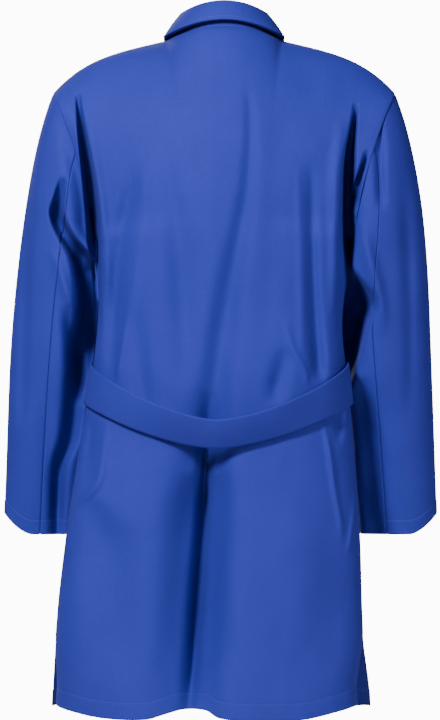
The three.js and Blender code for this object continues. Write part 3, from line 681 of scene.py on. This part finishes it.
def stud_material():
    material, tree, shader = new_material("nickel stud")
    shader.inputs["Metallic"].default_value = 1
    place = tree.nodes.new("ShaderNodeTexCoord")
    wear = tree.nodes.new("ShaderNodeTexNoise")
    wear.inputs["Scale"].default_value = 420
    wear.inputs["Detail"].default_value = 5
    tree.links.new(place.outputs["Object"], wear.inputs["Vector"])
    rough = tree.nodes.new("ShaderNodeMapRange")
    rough.inputs["To Min"].default_value = 0.18
    rough.inputs["To Max"].default_value = 0.42
    tree.links.new(wear.outputs["Fac"], rough.inputs["Value"])
    tree.links.new(rough.outputs["Result"], shader.inputs["Roughness"])
    colour = tree.nodes.new("ShaderNodeValToRGB")
    colour.color_ramp.elements[0].color = (0.50, 0.51, 0.53, 1)
    colour.color_ramp.elements[1].color = (0.70, 0.71, 0.72, 1)
    tree.links.new(wear.outputs["Fac"], colour.inputs["Fac"])
    tree.links.new(colour.outputs["Color"], shader.inputs["Base Color"])
    return material


TWILL = twill("royal blue twill", (0.0225, 0.0300, 0.300), (0.0165, 0.0225, 0.240))
# The pieces inside the coat take the same twill made about a fifth darker: that darkening is painted shade.
TWILL_INSIDE_PAINTED_SHADE = twill("twill inside with painted shade", (0.018, 0.025, 0.235), (0.013, 0.019, 0.19), bump=0.5)
THREAD_FINISH = thread_material()
LABEL_FINISH = label_material()
STUD_FINISH = stud_material()


# ---------- stitches ----------

def stitch_tree():
    """Geometry Nodes: a thread bead every pitch along each edge chain of the input mesh."""
    tree = bpy.data.node_groups.new("stitches", "GeometryNodeTree")
    face = tree.interface
    face.new_socket("Rows", in_out="INPUT", socket_type="NodeSocketGeometry")
    for label, value in (("Pitch", STITCH_PITCH), ("Length", STITCH_LENGTH), ("Thread", THREAD)):
        face.new_socket(label, in_out="INPUT", socket_type="NodeSocketFloat").default_value = value
    face.new_socket("Finish", in_out="INPUT", socket_type="NodeSocketMaterial")
    face.new_socket("Stitches", in_out="OUTPUT", socket_type="NodeSocketGeometry")
    nodes, link = tree.nodes, tree.links.new
    given = nodes.new("NodeGroupInput")
    result = nodes.new("NodeGroupOutput")
    curve = nodes.new("GeometryNodeMeshToCurve")
    link(given.outputs["Rows"], curve.inputs["Mesh"])
    pitch = nodes.new("GeometryNodeResampleCurve")
    pitch.mode = "LENGTH"
    link(curve.outputs["Curve"], pitch.inputs["Curve"])
    link(given.outputs["Pitch"], pitch.inputs["Length"])
    bead = nodes.new("GeometryNodeMeshUVSphere")
    bead.inputs["Segments"].default_value = 6
    bead.inputs["Rings"].default_value = 4
    bead.inputs["Radius"].default_value = 0.5
    sizes = nodes.new("ShaderNodeCombineXYZ")
    link(given.outputs["Thread"], sizes.inputs["X"])
    link(given.outputs["Thread"], sizes.inputs["Y"])
    link(given.outputs["Length"], sizes.inputs["Z"])
    shaped = nodes.new("GeometryNodeTransform")
    link(bead.outputs["Mesh"], shaped.inputs["Geometry"])
    link(sizes.outputs["Vector"], shaped.inputs["Scale"])
    run = nodes.new("GeometryNodeInputTangent")
    turn = nodes.new("FunctionNodeAlignRotationToVector")
    turn.axis = "Z"
    link(run.outputs["Tangent"], turn.inputs["Vector"])
    place = nodes.new("GeometryNodeInstanceOnPoints")
    link(pitch.outputs["Curve"], place.inputs["Points"])
    link(shaped.outputs["Geometry"], place.inputs["Instance"])
    link(turn.outputs["Rotation"], place.inputs["Rotation"])
    real = nodes.new("GeometryNodeRealizeInstances")
    link(place.outputs["Instances"], real.inputs["Geometry"])
    finish = nodes.new("GeometryNodeSetMaterial")
    link(real.outputs["Geometry"], finish.inputs["Geometry"])
    link(given.outputs["Finish"], finish.inputs["Material"])
    link(finish.outputs["Geometry"], result.inputs["Stitches"])
    return tree


STITCHES = stitch_tree()


def sew(name, rows):
    """One piece of all these rows of stitches; a row is an array of points on the cloth."""
    points = np.concatenate(rows) - np.array([0, 0, NECK_SIDE_Z])
    edges, start = [], 0
    for row in rows:
        edges += [(start + k, start + k + 1) for k in range(len(row) - 1)]
        start += len(row)
    mesh = bpy.data.meshes.new(name)
    mesh.from_pydata(points.tolist(), edges, [])
    piece = bpy.data.objects.new(name, mesh)
    bpy.context.scene.collection.objects.link(piece)
    sewn = piece.modifiers.new("stitches", "NODES")
    sewn.node_group = STITCHES
    sockets = {item.name: item.identifier for item in STITCHES.interface.items_tree if item.in_out == "INPUT"}
    sewn[sockets["Finish"]] = THREAD_FINISH
    bake(piece)
    piece.data.shade_smooth()
    return piece


def row_at(p, distance, edge):
    """The line of a grid at that distance from one edge, a hair above the cloth."""
    q = p if edge in ("low", "high") else p.transpose(1, 0, 2)
    if edge in ("high", "last"):
        q = q[::-1]
    run = np.vstack([np.zeros((1, q.shape[1])), np.cumsum(np.linalg.norm(np.diff(q, axis=0), axis=-1), 0)])
    normals = grid_normals(p)
    n = normals if edge in ("low", "high") else normals.transpose(1, 0, 2)
    if edge in ("high", "last"):
        n = n[::-1]
    line = []
    for c in range(q.shape[1]):
        point = [np.interp(distance, run[:, c], q[:, c, axis]) for axis in range(3)]
        out = [np.interp(distance, run[:, c], n[:, c, axis]) for axis in range(3)]
        line.append(np.array(point) + 0.12 * MM * np.array(out))
    return np.array(line)


# ---------- the body ----------
ROWS = np.concatenate([
    spaced(132, 0, UNDERARM_Z, [(0, 0.004, 6), (HEM_DEPTH, 0.004, 3)])[:-1],
    UNDERARM_Z + ARMHOLE_HEIGHT * np.sin(np.linspace(0, math.pi / 2, 74)),
])
BACK_COLUMNS = spaced(222, -1, 1, [(-1, 0.02, 5), (1, 0.02, 5), (0.95, 0.10, 3.5), (-0.86, 0.12, 3.5),
                                   (0.11, 0.06, 3)])


def vent(p, u, side, shift, open_y):
    """Below the vents' top the side edge moves across by `shift` and out by `open_y`."""
    near = np.clip(side * u, 0, 1) ** 9
    low = smooth((VENT_TOP - p[..., 2]) / 0.100)
    p[..., 0] += side * shift * near * low
    p[..., 1] += open_y * near * low
    return p


def hem_wave(p):
    """The back hem rises where a fold goes in and towards the vents."""
    heights = [(-0.215, 0.024), (-0.170, 0.012), (-0.110, 0), (-0.020, 0), (0.010, 0.004), (0.027, 0.014),
               (0.060, 0.015), (0.085, 0.009), (0.115, 0.001), (0.180, 0.003), (0.235, 0.014), (0.256, 0.021)]
    lift = along(heights, p[..., 0])
    p[..., 2] += lift * (1 - smooth(p[..., 2] / 0.300))
    return p


def back_grid():
    u, side_z = np.meshgrid(BACK_COLUMNS, ROWS)
    p = body_point(False, u, side_z)
    p = drape(p, ARMHOLE_FOLDS + BACK_FOLDS)
    fade = smooth((1 - np.abs(u)) / 0.06) * (1 - smooth((p[..., 2] - 0.93) / 0.06))
    p[..., 1] += ripple(p, 11, 0.55 * MM) * fade
    p = vent(p, u, 1, -0.007, 0.004)
    p = vent(p, u, -1, -0.014, 0.003)
    p = hem_wave(p)
    p = p[:, ::-1]
    return rolled(hem_line(p, HEM_DEPTH))


def front_grid(side):
    lap = FRONT_LAP / SHOULDER_HALF
    share = spaced(120, -lap, 1, [(-lap, 0.02, 5), (1, 0.02, 5), (0.9, 0.1, 1)])
    u, side_z = np.meshgrid(side * share, ROWS)
    p = body_point(True, u, side_z)
    past = side * u < 0
    p[..., 0] = np.where(past, sway(p[..., 2]) + u * SHOULDER_HALF, p[..., 0])
    if side < 0:
        p[..., 1] += LAP_STEP * smooth((p[..., 0] - sway(p[..., 2]) + FRONT_LAP + 0.038) / 0.030)
    fade = smooth((1 - np.abs(u)) / 0.06) * (1 - smooth((p[..., 2] - 0.84) / 0.06)) * smooth(side * u / 0.3)
    p[..., 1] += np.minimum(0, ripple(p, 23 + side, 0.4 * MM)) * 0.6 * fade
    p = vent(p, u, side, 0 if side > 0 else 0.006, -0.003)
    lift = SIDE_HEM_LIFT * smooth((np.abs(p[..., 0]) - 0.130) / 0.090)
    lift += FRONT_HEM_LIFT * (1 - smooth((np.abs(u) - 0.30) / 0.25))
    p[..., 2] += lift * (1 - smooth(p[..., 2] / 0.300))
    if side < 0:
        p = p[:, ::-1]
    return rolled(hem_line(p, HEM_DEPTH))


def make_body():
    back = back_grid()
    made = {"back": (back, grid_mesh("back_cloth", back, TWILL))}
    dress(made["back"][1], "root", "back_panel")
    for word, side in (("left", 1), ("right", -1)):
        p = front_grid(side)
        piece = grid_mesh(f"{word}_front_cloth", p, TWILL)
        weigh(piece, front_share(side))
        dress(piece, None, f"{word}_front")
        made[word] = (p, piece)
    return made


def make_sleeves():
    made = {}
    for word, side in (("left", 1), ("right", -1)):
        own_folds = LEFT_SLEEVE_FOLDS if side > 0 else RIGHT_SLEEVE_FOLDS
        for part, count in (("upper", 150), ("under", 120)):
            v = spaced(190, 0, 1, [(0, 0.01, 5), (1, 0.008, 5), (0.965, 0.008, 3), (0.2, 0.15, 0.6)])
            share = spaced(count, 0, 1, [(0, 0.02, 5), (1, 0.02, 5)])
            share, v = np.meshgrid(share, v)
            gap = 0.15
            start = FRONT_SEAM - 360 + gap if part == "upper" else back_seam(side, v) + gap
            end = back_seam(side, v) - gap if part == "upper" else FRONT_SEAM - gap
            angle = np.radians(start + (end - start) * share)
            p = hug(sleeve_point(side, angle, v), side, angle)
            front_wall = sleeve_point(side, np.full(v.shape, 1.5 * math.pi), v)[..., 1] + 0.009
            hollowed = drape(drape(p, ARMHOLE_FOLDS), own_folds, -0.085, 0.030)
            hollowed[..., 1] = np.maximum(hollowed[..., 1], np.minimum(p[..., 1], front_wall))
            p = hollowed
            waves = ripple(p, 31 + side, 0.9 * MM) * smooth(v / 0.12) * smooth((1 - v) / 0.05)
            p[..., 1] += waves
            p = p[::-1] if side > 0 else p[::-1, ::-1]
            p = rolled(hem_line(p, CUFF_HEM))
            name = f"{word}_{part}_sleeve"
            piece = grid_mesh(f"{name}_cloth", p, TWILL)
            start_at = (side * BEND_START, 0, UNDERARM_Z - NECK_SIDE_Z)
            end_at = (side * (BEND_START + BEND_RUN * 0.961), 0, UNDERARM_Z - NECK_SIDE_Z - BEND_RUN * 0.276)
            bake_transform(piece)
            dress(piece, None, name)
            made[name] = (p, (start_at, end_at))
    return made


# ---------- the collar ----------

def collar_grid(profile, shares, inset=0.0):
    turns = np.linspace(-1, 1, 201) * math.radians(171)
    turn, share = np.meshgrid(turns, shares)
    p = profile(np.abs(turn), share)
    p[..., 0] *= np.sign(turn)
    p = p[:, ::-1]
    return p - grid_normals(p) * inset


def fall_over_fold(turn, share):
    """Fall from its edge (0) to the fold (1), then over the fold to the stand's top (2)."""
    fall = fall_point(turn, np.minimum(share, 1))
    belly = 1.6 * MM * np.sin(math.pi * np.clip(share, 0, 1)) ** 0.8
    out = fall - np.array([0, -0.020, 0])
    out[..., 2] = 0
    out /= np.linalg.norm(out, axis=-1, keepdims=True)
    fall = fall + out * belly[..., None]
    over = np.clip(share - 1, 0, 1)
    fold, inner = fall_point(turn, 1 + 0 * share), stand_ring(turn)
    rise = 0.0022 * np.sin(math.pi * over)
    rolled_over = fold + (inner - fold) * ((1 - np.cos(math.pi * over)) / 2)[..., None]
    rolled_over[..., 2] += rise
    return np.where((share > 1)[..., None], rolled_over, fall)


def stand_point(turn, share):
    return neck_ring(turn) + (stand_ring(turn) - neck_ring(turn)) * share[..., None]


def make_collar():
    fall = collar_grid(fall_over_fold, np.concatenate([np.linspace(0, 1, 26), np.linspace(1, 2, 12)[1:]]))
    fall = rolled(fall, (True, False, True, True), 0.9 * MM, 2.4 * MM)
    upper = grid_mesh("collar_fall", fall, TWILL)
    dress(upper, "root", "upper_collar")
    under = collar_grid(fall_point, np.linspace(0.02, 0.96, 14), CLOTH + PLY_GAP + 0.9 * MM)
    lining = grid_mesh("collar_lining", under, TWILL_INSIDE_PAINTED_SHADE)
    dress(lining, "root", "under_collar")
    stand = rolled(collar_grid(stand_point, np.linspace(0, 1, 14)), (True, False, False, False),
                   0.8 * MM, 2 * MM)
    band = grid_mesh("collar_band", stand, TWILL)
    dress(band, "root", "collar_stand")
    return fall


# ---------- the belt ----------

def belt_grid():
    half, s = np.meshgrid(np.linspace(0.5, -0.5, 26), spaced(220, -1, 1, [(-1, 0.02, 3), (1, 0.02, 3)]),
                          indexing="ij")
    slack = 1 - s * s
    flare = BELT_FLARE * slack * slack
    tall = np.sqrt(BELT_WIDTH ** 2 - flare ** 2) + BELT_SPREAD * np.abs(s)
    share = np.sin(s * math.pi / 2)
    z = BELT_Z - BELT_SAG * (1 - np.abs(share) ** 1.6) + tall * half
    edge = side_edge(z)[0]
    x = np.clip(share * edge, -edge + 1e-5, edge - 1e-5)
    bow = 0.0025 * slack * np.sin(math.pi * (half + 0.5))
    proud = 2 * CLOTH + PLY_GAP + BELT_LOOSE * slack + flare * (half + 0.5) + bow
    p, _ = off_body(False, x, z, proud)
    p[..., 1] = np.maximum(p[..., 1], 0.0015)
    p[..., 1] += ripple(p, 47, 0.8 * MM) * smooth((1 - np.abs(s)) / 0.08)
    return p[::-1, ::-1]


def make_belt():
    p = rolled(belt_grid(), (True, True, True, True), 0.8 * MM, 2.5 * MM)
    belt = grid_mesh("half_belt", p, TWILL, thickness=2 * PLY)
    weigh(belt, belt_share)
    dress(belt, None, "back_belt")
    return p


# ---------- facings, pockets, flaps ----------

def facing_grid(side):
    over = np.linspace(-FRONT_LAP + FACING_INSET, FACING_WIDTH - FRONT_LAP, 16)
    x, z = np.meshgrid(over * side, np.linspace(FRONT_HEM_LIFT + 0.004, FRONT_NECK_Z - 0.055, 150))
    lap = LAP_STEP * smooth((x + FRONT_LAP + 0.038) / 0.030) if side < 0 else 0 * x
    p, _ = off_body(True, x, z, -(lap + CLOTH + PLY_GAP))
    return p if side > 0 else p[:, ::-1]


def neck_facing_grid():
    share, down = np.meshgrid(np.linspace(-0.9, 0.9, 60), np.linspace(0.052, 0.003, 16))
    x = NECK_HALF * np.sin(share * math.pi / 2)
    top = top_edge(x / SHOULDER_HALF, False)[1]
    p, _ = off_body(False, 0.97 * x, top - down, np.full(x.shape, -(CLOTH + PLY_GAP + 0.001)))
    return p[:, ::-1]


def patch_grid(side, x0, width, top, height):
    u, v = np.meshgrid(spaced(60, 0, 1, [(0, 0.03, 3), (1, 0.03, 3)]),
                       spaced(80, 0, 1, [(0, 0.02, 3), (1, 0.02, 3)]))
    full = POCKET_FULLNESS * smooth(1.35 * v) * np.sin(math.pi * u) ** 0.7
    proud = CLOTH + PLY_GAP + PATCH_CLEAR + full
    p, _ = off_body(True, side * (x0 + width * u), top - height * (1 - v), proud)
    return p if side > 0 else p[:, ::-1]


def flap_grid(side, x0, width, pocket_top):
    u, v = np.meshgrid(spaced(60, -0.03, 1.03, [(-0.03, 0.03, 3), (1.03, 0.03, 3)]),
                       spaced(34, 0, 1, [(0, 0.04, 3), (1, 0.04, 3)]))
    above = (FLAP_HEIGHT - FLAP_OVERLAP) / FLAP_HEIGHT
    full = POCKET_FULLNESS * np.sin(math.pi * np.clip(u, 0, 1)) ** 0.7 + CLOTH + PLY_GAP
    lift = FLAP_PLY + FLAP_CLEAR + PLY_GAP + full * smooth((1 - v) / (0.9 * above))
    top = pocket_top + FLAP_HEIGHT - FLAP_OVERLAP
    p, _ = off_body(True, side * (x0 + width * u), top - FLAP_HEIGHT * (1 - v), lift)
    return p if side > 0 else p[:, ::-1]


def make_facings():
    for word, side in (("left", 1), ("right", -1)):
        strip = grid_mesh(f"{word}_facing_strip", facing_grid(side), TWILL_INSIDE_PAINTED_SHADE, thickness=CLOTH)
        weigh(strip, front_share(side))
        dress(strip, None, f"{word}_facing")
    neck = grid_mesh("neck_facing_strip", neck_facing_grid(), TWILL_INSIDE_PAINTED_SHADE, thickness=CLOTH)
    dress(neck, "root", "back_neck_facing")


def pocket_and_flap(names, side, x0, size, top, body, flap_body, share):
    """A patch pocket and its flap, each with its stitches."""
    pocket_name, flap_name = names
    p = rolled(patch_grid(side, x0, size[0], top, size[1]), depth=0.7 * MM)
    pocket = grid_mesh(f"{pocket_name}_cloth", p, TWILL)
    seams = [row_at(p, 0.004, "low"), row_at(p, 0.004, "first"), row_at(p, 0.004, "last"),
             row_at(p, 0.018, "high")]
    sewn = sew(f"{pocket_name}_stitches", seams)
    for piece in (pocket, sewn):
        if share:
            weigh(piece, share)
        else:
            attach(piece, body)
    dress(pocket, None, pocket_name)
    q = rolled(flap_grid(side, x0, size[0], top), depth=0.7 * MM)
    lid = grid_mesh(f"{flap_name}_cloth", q, TWILL, thickness=FLAP_PLY)
    dress(lid, flap_body, flap_name)
    rims = [row_at(q, 0.004, "low"), row_at(q, 0.004, "first"), row_at(q, 0.004, "last"),
            row_at(q, 0.003, "high")]
    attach(sew(f"{flap_name}_stitches", rims), flap_body)


def make_pockets():
    for word, side in (("left", 1), ("right", -1)):
        pocket_and_flap((f"{word}_lower_pocket", f"{word}_pocket_flap"), side, LOWER_POCKET_X,
                        (POCKET_WIDTH, POCKET_HEIGHT), POCKET_TOP, f"{word}_front", f"{word}_pocket_flap",
                        front_share(side))
    pocket_and_flap(("chest_pocket", "chest_flap"), 1, CHEST_POCKET_X,
                    (CHEST_POCKET_WIDTH, CHEST_POCKET_HEIGHT), CHEST_POCKET_TOP, "root", "chest_flap", None)


# ---------- studs, loop, label ----------

def lathe(name, profile, place, normal, material):
    """A turned piece: profile points are (radius, height), from the base's centre to the top's."""
    around = 40
    turn = np.linspace(0, 2 * math.pi, around, endpoint=False)
    radius, height = np.array(profile, float).T
    body = np.stack([radius[1:-1, None] * np.cos(turn), radius[1:-1, None] * np.sin(turn),
                     np.broadcast_to(height[1:-1, None], (len(profile) - 2, around))], -1).reshape(-1, 3)
    points = np.vstack([[0, 0, height[0]], body, [0, 0, height[-1]]])
    rings = len(profile) - 2
    faces = [(0, 1 + (k + 1) % around, 1 + k) for k in range(around)]
    for r in range(rings - 1):
        base = 1 + r * around
        for k in range(around):
            n = (k + 1) % around
            faces.append((base + k, base + n, base + around + n, base + around + k))
    last = 1 + (rings - 1) * around
    faces += [(last + k, last + (k + 1) % around, len(points) - 1) for k in range(around)]
    turned = Vector((0, 0, 1)).rotation_difference(Vector(normal)).to_matrix()
    points = points @ np.array(turned).T + np.asarray(place) - np.array([0, 0, NECK_SIDE_Z])
    mesh = bpy.data.meshes.new(name)
    mesh.from_pydata(points.tolist(), [], faces)
    mesh.materials.append(material)
    mesh.shade_smooth()
    piece = bpy.data.objects.new(name, mesh)
    bpy.context.scene.collection.objects.link(piece)
    return piece


def cap_profile(radius, thick):
    """A stud's cap: a low dome inside a raised ring, on a rolled rim."""
    return [(0, 0), (0.86 * radius, 0), (0.97 * radius, 0.12 * thick), (radius, 0.34 * thick),
            (0.97 * radius, 0.58 * thick), (0.90 * radius, 0.76 * thick), (0.80 * radius, 0.80 * thick),
            (0.74 * radius, 0.68 * thick), (0.66 * radius, 0.66 * thick), (0.56 * radius, 0.80 * thick),
            (0.40 * radius, 0.92 * thick), (0.20 * radius, 0.98 * thick), (0, thick)]


def socket_profile(radius, thick):
    """A stud's socket: a rim round a sunk well with a knob in it."""
    return [(0, 0), (0.9 * radius, 0), (radius, 0.25 * thick), (radius, 0.6 * thick),
            (0.9 * radius, 0.9 * thick), (0.72 * radius, thick), (0.6 * radius, 0.9 * thick),
            (0.56 * radius, 0.3 * thick), (0.34 * radius, 0.25 * thick), (0.3 * radius, 0.7 * thick),
            (0.16 * radius, 0.85 * thick), (0, 0.88 * thick)]


def make_studs():
    gap = 0.4 * MM
    lift_under = -(LAP_STEP + 2 * CLOTH + 2 * PLY_GAP)
    kinds = []
    for k in range(STUD_COUNT):
        z = STUD_TOP - k * STUD_PITCH
        kinds.append((f"stud_cap_{k + 1}", 0, z, PLY_GAP - gap, STUD_RADIUS, cap_profile, "left_front"))
        kinds.append((f"stud_socket_{k + 1}", 0, z, lift_under - STUD_THICK, STUD_RADIUS - 0.001,
                      socket_profile, "right_front"))
    flap_lift = POCKET_FULLNESS + FLAP_PLY + FLAP_CLEAR + CLOTH + 2 * PLY_GAP + gap
    lower_x = LOWER_POCKET_X + POCKET_WIDTH / 2
    chest_x = CHEST_POCKET_X + CHEST_POCKET_WIDTH / 2
    for name, x, top, body in (("left_flap_stud", lower_x, POCKET_TOP, "left_pocket_flap"),
                               ("right_flap_stud", -lower_x, POCKET_TOP, "right_pocket_flap"),
                               ("chest_flap_stud", chest_x, CHEST_POCKET_TOP, "chest_flap")):
        kinds.append((name, x, top - 0.55 * FLAP_OVERLAP, flap_lift, STUD_RADIUS - 0.001, cap_profile, body))
    for name, x, z, lift, radius, profile, body in kinds:
        place, normal = off_body(True, np.array(x), np.array(z), np.array(lift))
        piece = lathe(f"{name}_turned", profile(radius, STUD_THICK), place, normal, STUD_FINISH)
        dress(piece, body, name)


def make_loop():
    """The hanging loop: flat tape bent down, across and up again."""
    back = off_body(False, np.array(LOOP_HALF), np.array(LOOP_TOP), np.array(-(2 * CLOTH + PLY_GAP)))[0][1]
    low = LOOP_TOP - LOOP_DROP
    outline = [(-LOOP_HALF + 0.002, LOOP_TOP), (-LOOP_HALF + 0.006, low + 0.010),
               (-LOOP_HALF + 0.012, low + 0.002),
               (0, low + 0.002), (LOOP_HALF - 0.012, low + 0.002), (LOOP_HALF - 0.006, low + 0.010),
               (LOOP_HALF - 0.002, LOOP_TOP)]
    way = np.linspace(0, len(outline) - 1, 70)
    x = np.interp(way, range(len(outline)), [o[0] for o in outline])
    z = np.interp(way, range(len(outline)), [o[1] for o in outline])
    run = np.stack([np.gradient(x), np.gradient(z)], -1)
    run /= np.linalg.norm(run, axis=-1, keepdims=True)
    side = np.stack([-run[:, 1], run[:, 0]], -1)
    share = np.linspace(-1, 1, 9)
    px = x[None] + side[None, :, 0] * share[:, None] * 0.0019
    pz = z[None] + side[None, :, 1] * share[:, None] * 0.0019
    p = np.stack([px, np.full(px.shape, back - 0.007), pz], -1)
    tape = grid_mesh("hanging_tape", p, TWILL_INSIDE_PAINTED_SHADE, thickness=2.2 * MM)
    dress(tape, "hanger_loop", "hanger_loop")


def make_label():
    top = LOOP_TOP - LOOP_DROP - 0.012
    x, z = np.meshgrid(np.linspace(-0.022, 0.022, 30), np.linspace(top - 0.024, top, 18))
    p, _ = off_body(False, x, z, np.full(x.shape, -(2 * CLOTH + 2 * PLY_GAP + 0.001)))
    label = grid_mesh("blank_label", p[:, ::-1], LABEL_FINISH, thickness=0.5 * MM)
    dress(label, "root", "neck_label")


# ---------- sewing that shows ----------

def make_stitches(body, sleeves, collar):
    back = body["back"][0]
    rows = [row_at(back, HEM_DEPTH, "low")]
    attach(sew("back_stitches", rows), "root")
    for word, side in (("left", 1), ("right", -1)):
        p = body[word][0]
        edge = "first" if side > 0 else "last"
        rows = [row_at(p, HEM_DEPTH, "low"), row_at(p, TOPSTITCH, edge), row_at(p, 0.052, edge)[:150]]
        piece = sew(f"{word}_front_stitches", rows)
        weigh(piece, front_share(side))
        upper, (start, end) = sleeves[f"{word}_upper_sleeve"]
        under, _ = sleeves[f"{word}_under_sleeve"]
        seam_edge = "first" if side > 0 else "last"
        rows = [row_at(upper, TOPSTITCH / 2, seam_edge), row_at(upper, CUFF_HEM, "low"),
                row_at(under, CUFF_HEM, "low")]
        piece = sew(f"{word}_sleeve_stitches", rows)
        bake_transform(piece)
    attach(sew("collar_stitches", [row_at(collar, TOPSTITCH, "low")]), "root")


# ---------- studio ----------

def area_light(name, place, target, size, power, colour=(1, 1, 1)):
    data = bpy.data.lights.new(name, "AREA")
    data.shape = "SQUARE"
    data.size = size
    data.energy = power
    data.color = colour
    lamp = bpy.data.objects.new(name, data)
    lamp.location = place
    lamp.rotation_mode = "QUATERNION"
    lamp.rotation_quaternion = (Vector(target) - Vector(place)).to_track_quat("-Z", "Y")
    bpy.context.scene.collection.objects.link(lamp)


def make_studio():
    middle = (0.006, 0, -0.470)
    distance = 10.0
    data = bpy.data.cameras.new("camera")
    data.sensor_fit = "VERTICAL"
    data.sensor_height = 24
    data.sensor_width = 24
    tall = 1.058
    data.lens = 24 * distance / tall
    camera = bpy.data.objects.new("camera", data)
    camera.location = (middle[0], distance, middle[2])
    camera.rotation_mode = "QUATERNION"
    camera.rotation_quaternion = Vector((0, -1, 0)).to_track_quat("-Z", "Y")
    bpy.context.scene.collection.objects.link(camera)
    bpy.context.scene.camera = camera

    area_light("key", (1.15, 2.35, 1.05), (0, 0, -0.12), 0.6, 152)
    area_light("fill", (-2.3, 2.1, 0.45), (0, 0, -0.25), 1.0, 46)
    area_light("front", (0.8, -3.0, 0.9), (0, 0, -0.5), 2.0, 120)

    world = bpy.data.worlds.new("pale room")
    world.use_nodes = True
    nodes, link = world.node_tree.nodes, world.node_tree.links.new
    room = nodes["Background"]
    room.inputs["Color"].default_value = (1, 1, 1, 1)
    room.inputs["Strength"].default_value = 0.07
    backdrop = nodes.new("ShaderNodeBackground")
    backdrop.inputs["Color"].default_value = (1, 1, 1, 1)
    backdrop.inputs["Strength"].default_value = 12.0
    seen = nodes.new("ShaderNodeLightPath")
    either = nodes.new("ShaderNodeMixShader")
    link(seen.outputs["Is Camera Ray"], either.inputs[0])
    link(room.outputs[0], either.inputs[1])
    link(backdrop.outputs[0], either.inputs[2])
    link(either.outputs[0], nodes["World Output"].inputs["Surface"])
    bpy.context.scene.world = world

    bpy.ops.mesh.primitive_circle_add(vertices=96, radius=2.0, fill_type="NGON", location=(0, 0, -1.42))
    floor = bpy.context.object
    floor.name = "floor"
    pale, _, shader = new_material("pale floor")
    shader.inputs["Base Color"].default_value = (0.82, 0.82, 0.81, 1)
    shader.inputs["Roughness"].default_value = 0.9
    floor.data.materials.append(pale)


body = make_body()
sleeves = make_sleeves()
collar = make_collar()
make_belt()
make_facings()
make_pockets()
make_studs()
make_loop()
make_label()
make_stitches(body, sleeves, collar)
make_studio()
